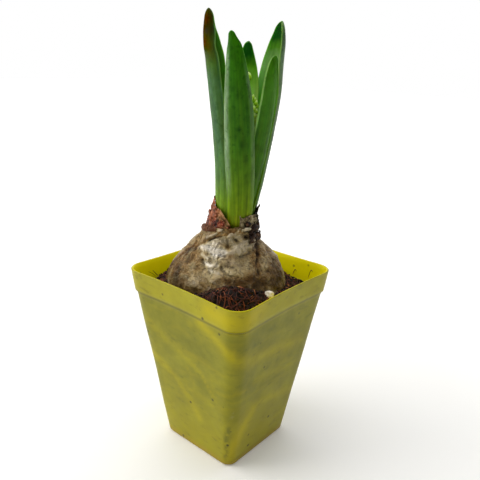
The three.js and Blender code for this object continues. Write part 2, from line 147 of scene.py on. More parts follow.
# %% Reading a table of stations
def smooth(table, at):
    """Values of a table [[place, value, ...], ...] at a place, on a smooth curve through its rows."""
    last = len(table) - 1
    at = min(max(at, table[0][0]), table[last][0])
    i = max(k for k in range(last) if table[k][0] <= at or k == 0)
    row, after = table[i], table[i + 1]
    before, beyond = table[max(i - 1, 0)], table[min(i + 2, last)]
    gap = after[0] - row[0]
    t = (at - row[0]) / gap
    values = []
    for k in range(1, len(row)):
        slope = (after[k] - before[k]) / (after[0] - before[0]) * gap
        next_slope = (beyond[k] - row[k]) / (beyond[0] - row[0]) * gap
        value = (2 * t**3 - 3 * t**2 + 1) * row[k] + (t**3 - 2 * t**2 + t) * slope
        value += (3 * t**2 - 2 * t**3) * after[k]
        values.append(value + (t**3 - t**2) * next_slope)
    return values


# %% [markdown]
# ## Colour and nodes
#
# Colours are written as the hex codes a paint program shows, and one function turns them to the
# linear values that Blender works with. One more function adds a node, sets it and links it.


# %% Colour and node helpers
def colour(code):
    channels = [int(code[i : i + 2], 16) / 255 for i in (1, 3, 5)]
    linear = [c / 12.92 if c <= 0.04045 else ((c + 0.055) / 1.055) ** 2.4 for c in channels]
    return (*linear, 1)


# Short names for nodes that are used often; any other name in small letters is a sum of the Math node.
SHORT_NAMES = {
    "blend": ("Mix", {"data_type": "RGBA"}),
    "scale": ("VectorMath", {"operation": "SCALE"}),
}


def add_node(tree, kind, inputs=(), stops=(), out=None, **settings):
    """Adds a shader node with its settings and gives back one output, the first that is in use.

    Inputs come in the node's order or by name: values, colour codes or outputs of other nodes."""
    if kind.islower():
        kind, preset = SHORT_NAMES.get(kind, ("Math", {"operation": kind.upper()}))
        settings = {**preset, **settings}
    added_node = tree.nodes.new("ShaderNode" + kind)
    for setting, value in settings.items():
        setattr(added_node, setting, value)
    in_use = [socket for socket in added_node.inputs if socket.enabled]
    for key, value in inputs.items() if isinstance(inputs, dict) else zip(in_use, inputs):
        socket = added_node.inputs[key] if isinstance(key, str) else key
        if isinstance(value, bpy.types.NodeSocket):
            tree.links.new(value, socket)
        else:
            socket.default_value = colour(value) if isinstance(value, str) else value
    for i, (place, code) in enumerate(stops):
        elements = added_node.color_ramp.elements
        element = elements[i] if i < 2 else elements.new(place)
        element.position = place
        element.color = colour(code)
    return added_node.outputs[out] if out else next((o for o in added_node.outputs if o.enabled), None)


def span(value, low=0, high=1, bottom=0, top=1):
    """Inputs of a MapRange node that takes low to bottom and high to top."""
    return {"Value": value, "From Min": low, "From Max": high, "To Min": bottom, "To Max": top}


def grain(place, scale, detail=2, roughness=0.5, distortion=0):
    """Inputs of a noise node."""
    return {
        "Vector": place, "Scale": scale, "Detail": detail, "Roughness": roughness, "Distortion": distortion,
    }


def new_material(name):
    """A material with an empty node tree, and the function that adds nodes to it."""
    material = bpy.data.materials.new(name)
    material.use_nodes = True
    material.node_tree.nodes.clear()
    return material, functools.partial(add_node, material.node_tree)


def surface(node, inputs):
    """The shader that ends a finish."""
    node("OutputMaterial", {"Surface": node("BsdfPrincipled", inputs)})


def speckled(name, stops, scale, detail, roughness, strength, depth):
    """A finish begun with one noise that colours it and makes its relief."""
    material, node = new_material(name)
    speckles = node("TexNoise", grain(node("TexCoord", out="Object"), scale, detail, roughness))
    skin = node("ValToRGB", [speckles], stops=stops)
    bump = node("Bump", {"Height": speckles, "Strength": strength, "Distance": depth})
    return material, node, skin, bump


def dressed(piece, material, slot, *nodes):
    """Gives a finished piece its finish and its place in the frame."""
    piece.data.materials.clear()
    piece.data.materials.append(material)
    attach(piece, "root")
    if nodes:
        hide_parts(*nodes)
    print(piece.name, "has", len(piece.data.polygons), "faces")


# %% [markdown]
# ## The camera
#
# The camera stands where the photograph was taken from: a little to the right of the pot's corner and
# above its rim. Its place, turn and lens were fitted to the corners of the pot. The slight roll is
# the photographer's.

# %% Placing the camera
CAMERA_PLACE = Vector((168.1, -195.0, 200.6)) * MM
CAMERA_AZIMUTH = math.radians(39.91)
CAMERA_ELEVATION = math.radians(18.98)
CAMERA_ROLL = math.radians(2.335)
CAMERA_LENS = 40.835

level = Vector((math.cos(CAMERA_AZIMUTH), math.sin(CAMERA_AZIMUTH), 0))
backward = Vector((
    math.sin(CAMERA_AZIMUTH) * math.cos(CAMERA_ELEVATION),
    -math.cos(CAMERA_AZIMUTH) * math.cos(CAMERA_ELEVATION), math.sin(CAMERA_ELEVATION),
))
upward = backward.cross(level)
across = math.cos(CAMERA_ROLL) * level + math.sin(CAMERA_ROLL) * upward
upward = backward.cross(across)

let_go()
bpy.ops.object.camera_add()
camera = bpy.context.object
camera.data.lens = CAMERA_LENS
camera.data.sensor_width = 36
camera.data.clip_start = 0.01
camera_turn = Matrix((across, upward, backward)).transposed().to_4x4()
camera.matrix_world = Matrix.Translation(CAMERA_PLACE) @ camera_turn
bpy.context.scene.camera = camera
print("camera at", [round(value, 3) for value in CAMERA_PLACE])

# %% [markdown]
# ## Floor and light
#
# The pot stands on a plain white floor in a white room. A large soft light on the left is the window:
# it makes the left faces brighter than the right ones and puts the pale sheen on the leaves.

# %% Floor
FLOOR_SIDE = 6
floor = added(bpy.ops.mesh.primitive_plane_add, "floor", size=FLOOR_SIDE)
floor_material, node = new_material("white_paper_floor")
place = node("TexCoord", out="Object")
away = node("VectorMath", [place], operation="LENGTH")
glow = node("MapRange", span(away, 0.15, bottom=0.12, top=0.7))
surface(node, {
    "Base Color": "#f6f5f2", "Roughness": 0.9, "Emission Color": "#ffffff",
    "Emission Strength": glow,
})
floor.data.materials.append(floor_material)

# %% Lights
# Name, place, width, height, power in watts, colour.
LIGHTS = [
    ("window", (-0.74, -0.62, 0.55), 0.8, 1.0, 6.5, "#fffdf6"),
    ("far_window", (0.5, 0.8, 0.4), 0.5, 0.9, 1.6, "#ffffff"),
    ("ceiling", (-0.15, -0.1, 1.1), 1.0, 1.0, 4.5, "#ffffff"),
]
AIM = Vector((0, 0, 0.1))
for name, place, width, height, power, code in LIGHTS:
    let_go()
    bpy.ops.object.light_add(type="AREA", location=place)
    light = bpy.context.object
    light.name = name
    light.data.shape = "RECTANGLE"
    light.data.size = width
    light.data.size_y = height
    light.data.energy = power
    light.data.color = colour(code)[:3]
    light.rotation_euler = (AIM - Vector(place)).to_track_quat("-Z", "Y").to_euler()

# %% White room
# The walls behind the plant are bright and the photographer's side is dim, which is what draws the
# pot's dark corner and the pale rims of the leaves. What the camera itself sees is plain white.
DIM_SIDE = 0.06
BRIGHT_SIDE = 0.9
world = bpy.data.worlds.new("white_room")
bpy.context.scene.world = world
world.use_nodes = True
world.node_tree.nodes.clear()
node = functools.partial(add_node, world.node_tree)
direction = node("TexCoord", out="Generated")
away = Matrix.Rotation(math.radians(32), 3, "Z") @ Vector((-backward.x, -backward.y, 0)).normalized()
behind = node("VectorMath", [direction, away], operation="DOT_PRODUCT")
glow = node(
    "MapRange", span(behind, -0.6, 0.35, DIM_SIDE, BRIGHT_SIDE), interpolation_type="SMOOTHSTEP",
)
seen = node("LightPath")
glow = node("Mix", [seen, glow, 1.0])
background = node("Background", {"Color": "#ffffff", "Strength": glow})
node("OutputWorld", {"Surface": background})
bpy.context.scene.view_settings.view_transform = "Standard"

# %% [markdown]
# ## The pot's shape
#
# A square nursery pot is moulded with thin walls that lean out, round corners, and a band round the
# rim that stands out over a small ledge, so that pots can be stacked and carried. The sides of a pot
# this thin bow in a little between the corners. It starts as a square plate: its corners are
# bevelled, its sides are divided, and then it is pulled up and widened ring by ring, turned over
# the rim, and pushed down again inside.

# %% Pot sizes
RIM_SIDE = 76
POT_HEIGHT = 97
FOOT_SIDE = 47
FOOT_CORNER = 6
FOOT_ROUND = 1.2
BAND_HEIGHT = 11.5
BAND_SIDE = 73.2
LEDGE_STEP = 0.75
LEDGE_HEIGHT = POT_HEIGHT - BAND_HEIGHT
BODY_TOP_SIDE = BAND_SIDE - 2 * LEDGE_STEP
WALL = 1.0
POT_FLOOR = 1.4
SIDE_BOW = 1.0
DRAIN_RADIUS = 3.5
DRAIN_REACH = 12.5
WALL_RINGS = 40
BAND_RINGS = (88, 90, 92, 94)
LIP_ROUND = 0.35


def wall_side(z):
    """Width of the pot across its flats at a height."""
    if z <= LEDGE_HEIGHT:
        return mix(FOOT_SIDE, BODY_TOP_SIDE, z / LEDGE_HEIGHT)
    return mix(BAND_SIDE, RIM_SIDE, (z - LEDGE_HEIGHT) / BAND_HEIGHT)


# %% Pulling the pot up from a plate
foot_side = FOOT_SIDE - 2 * FOOT_ROUND
pot = added(bpy.ops.mesh.primitive_plane_add, "nursery_pot", size=foot_side * MM)
bpy.ops.object.mode_set(mode="EDIT")
bpy.ops.mesh.bevel(offset=(FOOT_CORNER - FOOT_ROUND) * MM, segments=9, affect="VERTICES")
bpy.ops.object.mode_set(mode="OBJECT")
for edge in pot.data.edges:
    ends = [pot.data.vertices[i].co for i in edge.vertices]
    edge.select = (ends[0] - ends[1]).length > 10 * MM
for face in pot.data.polygons:
    face.select = False
bpy.context.tool_settings.mesh_select_mode = (False, True, False)
bpy.ops.object.mode_set(mode="EDIT")
bpy.ops.mesh.subdivide(number_cuts=27)
bpy.context.tool_settings.mesh_select_mode = (False, False, True)
bpy.ops.mesh.select_all(action="SELECT")

ledge = LEDGE_STEP / 2
outside = [(LIP_ROUND, FOOT_SIDE - 0.8), (FOOT_ROUND, wall_side(FOOT_ROUND))]
for i in range(1, WALL_RINGS):
    z = mix(FOOT_ROUND, LEDGE_HEIGHT - ledge, i / WALL_RINGS)
    outside.append((z, wall_side(z)))
outside += [(LEDGE_HEIGHT - ledge, BODY_TOP_SIDE), (LEDGE_HEIGHT + ledge, BAND_SIDE)]
outside += [(z, wall_side(z)) for z in (*BAND_RINGS, POT_HEIGHT - LIP_ROUND)]
outside += [(POT_HEIGHT, RIM_SIDE - 0.6), (POT_HEIGHT, RIM_SIDE - 1.4)]
inside = [(POT_HEIGHT - LIP_ROUND, RIM_SIDE - 2 * WALL)]
inside += [(z, wall_side(z) - 2 * WALL) for z in (*BAND_RINGS[::-1], LEDGE_HEIGHT + ledge + 0.2)]
for i in range(WALL_RINGS, 0, -1):
    z = mix(POT_FLOOR + FOOT_ROUND, LEDGE_HEIGHT - ledge, i / WALL_RINGS)
    inside.append((z, wall_side(z) - 2 * WALL))
inside.append((POT_FLOOR, wall_side(POT_FLOOR) - 2 * WALL - 2))
at, width = 0, foot_side
for z, side in outside + inside:
    pulled((0, 0, z - at), side / width)
    at, width = z, side
turned_out()
print("pot:", len(pot.data.vertices), "points")


# %% Bowing the sides and warping the thin wall
def bowed(x, y, z):
    """Moves a point of the pot or soil with the bow of the sides, which grows towards the rim."""
    share = z / POT_HEIGHT
    half = wall_side(z) / 2
    flat = half * 0.73
    bow = SIDE_BOW * share
    if abs(y) < flat and abs(x) > abs(y):
        x -= math.copysign(bow, x) * (1 - (y / flat) ** 2) * step(0.5, 0.8, abs(x) / half)
    if abs(x) < flat and abs(y) > abs(x):
        y -= math.copysign(bow, y) * (1 - (x / flat) ** 2) * step(0.5, 0.8, abs(y) / half)
    return x, y


WARP = 0.22
WARP_SCALE = 28
for vertex in pot.data.vertices:
    x, y, z = vertex.co / MM
    x, y = bowed(x, y, z)
    swell = WARP * noise.noise(Vector((x, y, z)) / WARP_SCALE) * step(4, 20, z) * (1 - step(90, 97, z))
    length = math.hypot(x, y) or 1
    vertex.co = Vector((x + x / length * swell, y + y / length * swell, z)) * MM

# %% Drain holes
drills = []
for x, y in ((1, 1), (-1, 1), (-1, -1), (1, -1)):
    drill = added(
        bpy.ops.mesh.primitive_cylinder_add, "drill", vertices=32, radius=DRAIN_RADIUS * MM,
        depth=4 * POT_FLOOR * MM, location=(x * DRAIN_REACH * MM, y * DRAIN_REACH * MM, 0),
    )
    drills.append(drill)
drills = joined(drills, "drills")
modified(pot, "BOOLEAN", object=drills, operation="DIFFERENCE", solver="EXACT")
bpy.data.objects.remove(drills)
smoothed(pot, sharp=38)

# %% [markdown]
# ## The pot's plastic
#
# Polypropylene, injection moulded from marbled regrind: olive yellow with streaks where the yellow
# batch flowed, a satin shine, and walls thin enough that the dark soil greys them from behind. The
# streaks run down to the right on the left face and almost level on the right face, so each is
# drawn as a curve on the wall (millimetres round the wall from the front corner, and height) and
# kept in the mesh as a number. Noise then breaks the edges of the streaks.

# %% Streaks on the wall
STREAKS = [
    # points, half width in mm, strength
    ([(-24, 84), (-16, 80), (-12, 78), (-9, 76), (-5, 73), (-1, 70)], 2.8, 0.73),
    ([(-3, 73), (3, 70), (9, 67), (15, 65), (22, 65), (32, 63), (40, 62), (52, 61)], 3.5, 0.53),
    ([(-62, 55), (-54, 49), (-47, 45.5), (-40, 42), (-34, 37), (-29, 32), (-25, 27), (-22, 23)], 2.2, 0.62),
    ([(-38, 60), (-32, 58), (-27, 56), (-22, 53), (-18, 49), (-14, 45), (-11, 42)], 1.3, 0.43),
    ([(-31, 52), (-28, 45), (-26, 40)], 1.2, 0.21),
    ([(-31, 40), (-25, 38), (-18, 38), (-13, 37)], 1.3, 0.3),
    ([(0, 6), (4, 15), (8, 22), (12, 27), (15, 32)], 4.4, 0.85),
    ([(15, 32), (19, 34), (26, 33), (32, 32), (43, 29), (50, 28)], 2.5, 0.43),
    ([(16, 51), (23, 51), (32, 49), (41, 47), (52, 46)], 1.9, 0.34),
    ([(-59, 70), (-52, 66), (-46, 63)], 2.3, 0.3),
    ([(-10, 47), (-4, 48), (4, 50), (9, 49)], 1.2, 0.3),
    ([(-48, 2), (-35, 1), (-20, 1), (-8, 1)], 2.3, 0.43),
    ([(-18, 93), (-6, 91), (6, 91), (16, 94)], 5, 0.85),
    ([(-120, 70), (-105, 62), (-90, 58), (-75, 50)], 3.2, 0.52),
    ([(-100, 40), (-85, 30), (-70, 24)], 2.6, 0.43),
    ([(70, 80), (85, 70), (100, 66), (118, 52)], 3.3, 0.52),
    ([(74, 44), (88, 40), (104, 30)], 2.3, 0.43),
]
# Dark smudges of dried soil, and one pale scuff on the front corner.
SMUDGES = [
    ([(-2.5, 27), (-3.5, 20), (-2.5, 13), (-3.5, 6)], 1.3, 0.6),
    ([(1.5, 22), (0.5, 15)], 1, 0.4),
    ([(12, 74.5), (17, 74)], 1.1, 0.45),
    ([(24, 79), (29, 78.5)], 1.2, 0.4),
    ([(9, 57), (13, 56.5)], 1, 0.3),
    ([(33, 55), (38, 54)], 1.3, 0.35),
    ([(-30, 74), (-25, 72)], 1.1, 0.3),
    ([(-8, 32), (-6, 28)], 1, 0.3),
    ([(95, 60), (101, 58)], 1.4, 0.4),
    ([(-88, 20), (-82, 22)], 1.3, 0.4),
]
SCUFFS = [([(0.5, 37), (1.5, 35.5)], 1.1, 0.6), ([(-1, 34.5), (0.5, 33.5)], 0.8, 0.4)]


def along_wall(x, y, z):
    """Distance round the wall from the front corner: to the left below 0, to the right above it."""
    half = wall_side(z) / 2
    if abs(x) > abs(y):
        return y + half if x > 0 else -y - 3 * half
    return x - half if y < 0 else 3 * half - x


def distance_to_run(u, v, run_u, run_v):
    """Distance from a place to a straight run that starts at 0, 0."""
    run = run_u**2 + run_v**2 or 1
    share = min(1, max(0, (u * run_u + v * run_v) / run))
    return math.hypot(u - share * run_u, v - share * run_v)


def near_streak(u, z, points, width):
    """How close a place on the wall is to a streak: 1 on it, 0 away from it."""
    runs = zip(points, points[1:])
    best = min(distance_to_run(u - u0, z - z0, u1 - u0, z1 - z0) for (u0, z0), (u1, z1) in runs)
    return math.exp(-((best / width) ** 2))


def strongest(table, u, z):
    return max(strength * near_streak(u, z, points, width) for points, width, strength in table)


numbers = {name: [] for name in ("streak", "smudge", "scuff", "inner_wall")}
for vertex in pot.data.vertices:
    x, y, z = vertex.co / MM
    u = along_wall(x, y, z) + 1.4 * noise.noise(Vector((x, y, z)) / 9)
    for name, table in (("streak", STREAKS), ("smudge", SMUDGES), ("scuff", SCUFFS)):
        numbers[name].append(strongest(table, u, z))
    inward = -(vertex.normal.x * x + vertex.normal.y * y) / (math.hypot(x, y) or 1)
    pot_floor = step(0.6, 0.8, vertex.normal.z) if z < 50 else 0
    numbers["inner_wall"].append(max(step(-0.2, 0.4, inward), pot_floor))
for name, values in numbers.items():
    marked(pot, name, values)

# %% Marbled polypropylene
pot_material, node = new_material("marbled_polypropylene")
place = node("TexCoord", out="Object")
height = node("SeparateXYZ", [place], out="Z")
streak = node("Attribute", out="Fac", attribute_name="streak")
inner = node("Attribute", out="Fac", attribute_name="inner_wall")
# The regrind's flow lines are about 15 mm wide and lie aslant.
slant = node("Mapping", {"Vector": place, "Rotation": (0.6, 0.5, 0.3), "Scale": (1, 1, 2.6)})
flow = node("TexNoise", grain(slant, 38, 4, distortion=1.2))
flow = node("MapRange", span(flow, 0.5, 0.78))
cloud = node("TexNoise", grain(place, 75, 7, 0.62))
broken = node("MapRange", span(cloud, 0.25, 0.55, 0.5))
streak = node("multiply", [streak, broken])
faint = node("multiply", [flow, 0.25])
yellow = node("maximum", [streak, faint])
# Behind the body the soil shows through and greys the wall; the band and the inside are clear of it.
backing = node("MapRange", span(height, 0.0835, 0.0865))
grey = node("ValToRGB", [cloud], stops=[(0.3, "#74721a"), (0.5, "#827f1e"), (0.72, "#918d22")])
band = node("ValToRGB", [cloud], stops=[(0.3, "#918a18"), (0.75, "#a69f20")])
body = node("blend", [backing, grey, band])
# The foot is cleaner and yellower than the middle.
clean_foot = node("MapRange", span(height, 0.005, 0.045, 0.5, 0))
body = node("blend", [clean_foot, body, "#b0a418"])
body = node("blend", [yellow, body, "#b3a408"])
ochre = node("MapRange", span(height, 0.0015, 0.005, 0.6, 0))
body = node("blend", [ochre, body, "#a2860a"])
# Smears of dried soil some 3 mm wide, and the scuff, both broken up by fine noise.
fine = node("TexNoise", grain(place, 320, 5, 0.7))
smear = node("TexNoise", grain(slant, 130, 5))
smear = node("MapRange", span(smear, 0.58, 0.7, top=0.35))
broken = node("MapRange", span(fine, 0.38, 0.55))
for name, code in (("smudge", "#55561e"), ("scuff", "#b0ae84")):
    mark = node("Attribute", out="Fac", attribute_name=name)
    if name == "smudge":
        mark = node("maximum", [mark, smear])
    mark = node("multiply", [mark, broken])
    body = node("blend", [mark, body, code])
lining = node("ValToRGB", [cloud], stops=[(0.3, "#d6c800"), (0.7, "#e6da10")])
body = node("blend", [inner, body, lining])
# Painted shade: a dark line in the angle under the band, where its shadow falls.
painted_ledge_shade = node("subtract", [height, 0.0854])
painted_ledge_shade = node("absolute", [painted_ledge_shade])
painted_ledge_shade = node("MapRange", span(painted_ledge_shade, 0.0003, 0.0013, 0.5))
outside_painted_ledge_shade = node("maximum", [painted_ledge_shade, inner])
body = node("blend", [outside_painted_ledge_shade, "#2e2c02", body])
# Painted glow: emission stands for the daylight that comes through the millimetre of wall and
# lights the inside above the soil.
clear = node("MapRange", span(height, 0.084, 0.089))
clear = node("multiply", [clear, inner])
painted_glow = node("blend", [clear, "#000000", "#e8dc00"])
# Grit in the regrind: specks about 1 mm wide and some 12 mm apart.
grit = node("TexVoronoi", {"Vector": place, "Scale": 115, "Randomness": 1})
speck = node("MapRange", span(grit, 0.05, 0.12))
chosen = node("SeparateColor", [grit.node.outputs["Color"]])
chosen = node("less_than", [chosen, 0.6])
clean = node("maximum", [speck, chosen])
body = node("blend", [clean, "#4f4a1c", body])
scuff = node("TexNoise", grain(place, 160, 3))
gloss = node("MapRange", span(scuff, bottom=0.34, top=0.5))
bump = node("Bump", {"Height": scuff, "Strength": 0.12, "Distance": 0.0006})
surface(node, {
    "Base Color": body, "Roughness": gloss, "Normal": bump, "IOR": 1.49, "Specular IOR Level": 0.16,
    "Emission Color": painted_glow, "Emission Strength": 0.2,
})
dressed(pot, pot_material, "pot_plastic", "pot")

# %% [markdown]
# ## The plant's own frame
#
# The bulb and the leaves were measured in a frame of their own, on the axis of the neck, with +X to
# the right of the photograph and -Y towards it. Each piece is shaped there, and its points are then
# moved into the frame of the pot.

# %% From the plant's frame to the pot's
PLANT_TURN = math.radians(39.9)
NECK_OFFSET = 1.6
PLANT = Matrix.Rotation(PLANT_TURN, 4, "Z")
PLANT.translation = Vector((math.cos(PLANT_TURN), math.sin(PLANT_TURN), 0)) * NECK_OFFSET * MM


def planted(piece):
    piece.data.transform(PLANT)
    piece.data.update()


def polar(angle, radius, z, middle=(0, 0)):
    """Point at an angle and radius round an upright line, in metres."""
    turn = math.radians(angle)
    return Vector((middle[0] + radius * math.cos(turn), middle[1] + radius * math.sin(turn), z)) * MM


# %% [markdown]
# ## The bulb's shape
#
# A bulb is wrapped in a dry tunic: old, papery scales that stick to it, crease towards the neck, and
# tear off at the top. The body starts as a circle that is pulled up and scaled through measured
# rings, then turned in at the collar to make the socket that the leaves stand in. Subdivision rounds
# it, and each point is then moved out or in by the relief of the tunic: swells, creases that run up
# to the neck, a few folds seen in the photograph, and pits.

# %% Bulb rings and collar
BULB_RINGS = [
    (60, -4.1, 8),
    (60.8, -4.1, 13.5),
    (63.5, -4.1, 20.5),
    (68, -4.1, 25.8),
    (74, -4.1, 29),
    (81, -4.1, 30.6),
    (88, -4.1, 30.8),
    (93.6, -4.1, 30),
    (97, -4, 28.7),
    (100.5, -3.9, 26.7),
    (104, -3.8, 24.2),
    (107, -3.8, 21.3),
    (110, -3.8, 17.7),
    (113.3, -3.7, 15),
    (116.3, -3.3, 13.6),
    (119, -2.9, 12.9),
]
SOCKET_RINGS = [(119.4, -2.9, 12.3), (117.4, -2.2, 11.4), (113.4, -0.8, 9.4), (112.8, -0.6, 6)]
COLLAR_FOOT = 117
COLLAR_TOP = 119
COLLAR_RADIUS = 12.9
COLLAR_RISE = 2.8
BULB_SIDES = 64

at, at_x, at_radius = BULB_RINGS[0]
bulb = added(
    bpy.ops.mesh.primitive_circle_add, "bulb_tunic", vertices=BULB_SIDES, radius=at_radius * MM,
    fill_type="NGON", location=(0, 0, 0),
)
bulb.data.transform(Matrix.Translation(Vector((at_x, 0, at)) * MM))
bpy.ops.object.mode_set(mode="EDIT")
bpy.ops.mesh.select_all(action="SELECT")
for height, middle, radius in BULB_RINGS[1:] + SOCKET_RINGS:
    pulled((middle - at_x, 0, height - at), radius / at_radius, (middle * MM, 0, 0))
    at, at_x, at_radius = height, middle, radius
turned_out()
for vertex in bulb.data.vertices:
    x, y, z = vertex.co / MM
    if z > COLLAR_FOOT:
        share = max(0, -y / COLLAR_RADIUS) * step(COLLAR_FOOT, COLLAR_TOP, z)
        vertex.co.z += COLLAR_RISE * share * MM
modified(bulb, "SUBSURF", levels=3, render_levels=3)

# %% Folds, pits and patches of the tunic
# A fold follows places (angle, height); then its half width and its height, in mm.
FOLDS = [
    ([(-78, 111.9), (-64, 114.9), (-43, 116.2), (-23, 114.3)], 1, 0.55),
    ([(-70, 111.2), (-57, 112.9), (-40, 114.2)], 2.2, 0.45),
    ([(-76, 109.6), (-65, 109.2), (-55, 110), (-45, 111), (-24, 112.7)], 0.8, -0.6),
    ([(-90, 119.3), (-80, 119), (-70, 117.5), (-62, 115.9)], 0.8, 0.5),
    ([(-76, 116.6), (-66, 115.4), (-52, 117.1)], 0.9, -0.5),
    ([(-140, 111.7), (-121, 111.7), (-109, 111.6), (-96, 111.6), (-81, 111.2)], 1, 0.5),
    ([(-138, 110.2), (-120, 110), (-104, 109.8), (-92, 110)], 0.8, -0.3),
    ([(-128, 113.5), (-123, 115.3), (-110, 116.3), (-99, 115.3)], 0.7, 0.35),
    ([(-116, 106.9), (-111, 106), (-105, 106), (-102, 107.2)], 0.6, 0.45),
    ([(-127, 109.1), (-117, 108.5)], 0.6, 0.4),
    ([(-24, 112.9), (-37, 109.2), (-50, 105.6), (-52, 102.1)], 0.7, -0.3),
    ([(-95, 105.5), (-92, 104.4), (-88, 103), (-81, 102.4), (-77, 102.1)], 0.7, -0.45),
    ([(-123, 107.2), (-114, 104.6), (-107, 102.8)], 0.6, -0.35),
    ([(-126, 97.9), (-118, 98.1), (-111, 98.4), (-104, 97.9), (-101, 100.3)], 1.6, 0.35),
    ([(-169, 102.2), (-167, 106.5), (-160, 108.8), (-150, 109.8)], 1.2, -0.3),
    ([(-117.6, 119.8), (-108, 119.6), (-99.3, 119.6), (-91, 120.3), (-82.6, 121)], 0.5, -0.7),
    ([(-135.6, 115.7), (-123.2, 117.8), (-112.8, 120), (-104, 121.7)], 0.7, 0.8),
    ([(-128.4, 115.2), (-117.2, 117.1), (-107.4, 118.5)], 0.6, -0.8),
    ([(-90.2, 118.3), (-80.3, 119.8), (-71.7, 120.7)], 0.7, 0.5),
    ([(-60, 119.2), (-49.1, 117.2), (-38.2, 115.3)], 0.6, -0.6),
    ([(-14.4, 113.7), (-23.8, 111.6), (-35.4, 109.8), (-41.7, 107.9), (-48.7, 106.1)], 0.6, -0.5),
    ([(-157, 118.2), (-157.5, 115.2), (-160, 112)], 0.7, -0.4),
    ([(18, 113.8), (34, 114.6), (52, 112.4)], 1, 0.5),
    ([(24, 110.2), (44, 109.4), (62, 111.2)], 0.8, -0.5),
    ([(72, 108), (92, 110.6), (112, 112.2)], 1.1, 0.45),
    ([(130, 113), (150, 112.2), (172, 109.4)], 1, 0.5),
    ([(136, 110), (154, 108.6)], 0.7, -0.4),
    ([(95, 103), (112, 100.6), (135, 100)], 1, -0.4),
    ([(-2, 106), (16, 102), (36, 100.4)], 1.1, 0.4),
]
# A pit or scar: angle, height, radius, depth.
PITS = [
    (-88.4, 113.3, 1.25, 0.6),
    (-101.6, 109.1, 0.6, 0.6),
    (-123.6, 107, 0.6, 0.4),
    (-36.1, 109.1, 0.8, 0.5),
    (-25.1, 103.3, 0.8, 0.5),
    (-106.7, 102.7, 0.5, 0.4),
    (-61.1, 104.8, 0.5, 0.4),
    (-77.3, 104.5, 0.4, 0.3),
    (15, 107, 0.8, 0.5),
    (60, 103, 0.7, 0.4),
    (118, 106, 0.8, 0.5),
    (165, 102, 0.7, 0.4),
]
# Where the tunic is lighter (above 0) or darker (below 0): silvery and worn brown skin, a painted
# highlight and a painted lighter top on the lit front, and painted shade on the left shoulder and
# low down. Places, half width, strength.
TONE_AND_LIGHT_PATCHES = [
    # Painted highlight: the bright band on the upper front shoulder.
    ([(-138, 111.7), (-121, 111.7), (-109, 111.5), (-93, 111.2)], 1.3, 1.9),
    ([(-112, 110.4), (-100, 109.8)], 1.5, 0.8),
    ([(-128, 113.8), (-112, 114)], 1.4, 0.6),
    ([(-120, 114.4), (-106, 114.6)], 1.8, 0.6),
    # Painted light: the top and the middle of the front made lighter.
    ([(-116, 117.4), (-96, 116.4), (-76, 116.8)], 2.8, 0.5),
    ([(-116, 111), (-98, 112), (-82, 113.6)], 4.6, 0.3),
    ([(-112, 105), (-92, 104.4), (-74, 105)], 3.4, 0.25),
    ([(-84, 113.2), (-66, 113.4)], 1.6, 0.4),
    ([(-70, 111.4), (-57, 112.9), (-40, 114.2)], 2.6, 0.55),
    ([(-88, 117.8), (-72, 117.6)], 1.6, 0.4),
    ([(-130, 109.2), (-117, 108.3)], 0.6, 0.9),
    ([(-120, 106.9), (-110, 106), (-100, 106.4)], 0.6, 0.9),
    ([(-110, 104.4), (-98, 103.6)], 0.6, 0.6),
    ([(-128, 97.4), (-118, 97.6), (-110, 98.2), (-103, 98.6)], 2.4, -0.15),
    ([(-134, 99.6), (-126, 98.6)], 0.7, 0.9),
    ([(-150, 103.6), (-143, 102)], 1.8, 0.5),
    ([(-164, 110), (-156, 106), (-150, 101), (-146, 97)], 1.8, -0.6),
    ([(-176, 98), (-168, 94)], 3, -0.7),
    # Painted shade low on the front left.
    ([(-152, 94), (-130, 92), (-108, 94)], 3.2, -0.7),
    ([(-168, 103), (-156, 100)], 3.4, -0.5),
    ([(-134, 103.4), (-124, 102), (-112, 101.4)], 1.4, 0.25),
    ([(-36, 96), (-22, 97), (-10, 98)], 2.4, -0.5),
    ([(-90, 107.6), (-74, 106.6), (-60, 106.4)], 1.9, 0.35),
    ([(-66, 98.3)], 1.1, 0.8),
    ([(-92, 101.4), (-82, 100.9), (-71, 101.1), (-62, 101)], 1.3, -0.6),
    ([(-84, 98.4), (-66, 98.2), (-50, 98.4)], 2, -0.35),
    # Painted shade on the left shoulder.
    ([(-170, 102.2), (-167, 106.5), (-160, 108.8), (-150, 109.9)], 2, -0.45),
    ([(-142, 113), (-134, 116)], 1.8, -0.5),
    ([(-156, 97), (-146, 98.2)], 2.4, -0.6),
    ([(-142, 103.4)], 2.4, -0.5),
    ([(-24, 112.4), (-37, 109), (-50, 105.6), (-52, 102.1)], 1.2, -0.4),
    ([(-88.4, 113.3)], 1.3, -1),
    ([(-101.6, 109.1)], 0.7, -1),
    ([(-36.1, 109.1)], 0.9, -0.9),
    ([(-25.1, 103.3)], 0.9, -0.9),
    ([(-12, 104), (-18, 98)], 2.6, -0.6),
    ([(20, 112), (48, 111.6)], 2.2, 0.8),
    ([(76, 107), (104, 109.4)], 2.4, 0.7),
    ([(134, 112.6), (168, 110)], 2, 0.8),
    ([(30, 101), (58, 98.6)], 3, -0.7),
    ([(110, 100), (140, 98.6)], 3, -0.7),
    ([(150, 104), (176, 101)], 2.4, 0.5),
]


# %% Relief of the tunic
# Blender takes the seed of noise_vector from the clock. With a seed of its own, the bulb's creases
# come out the same in each run.
CREASE_SEED = 1795877560
noise.seed_set(CREASE_SEED)


def turned(angle, other):
    """Smallest turn between two angles in degrees."""
    return (angle - other + 180) % 360 - 180


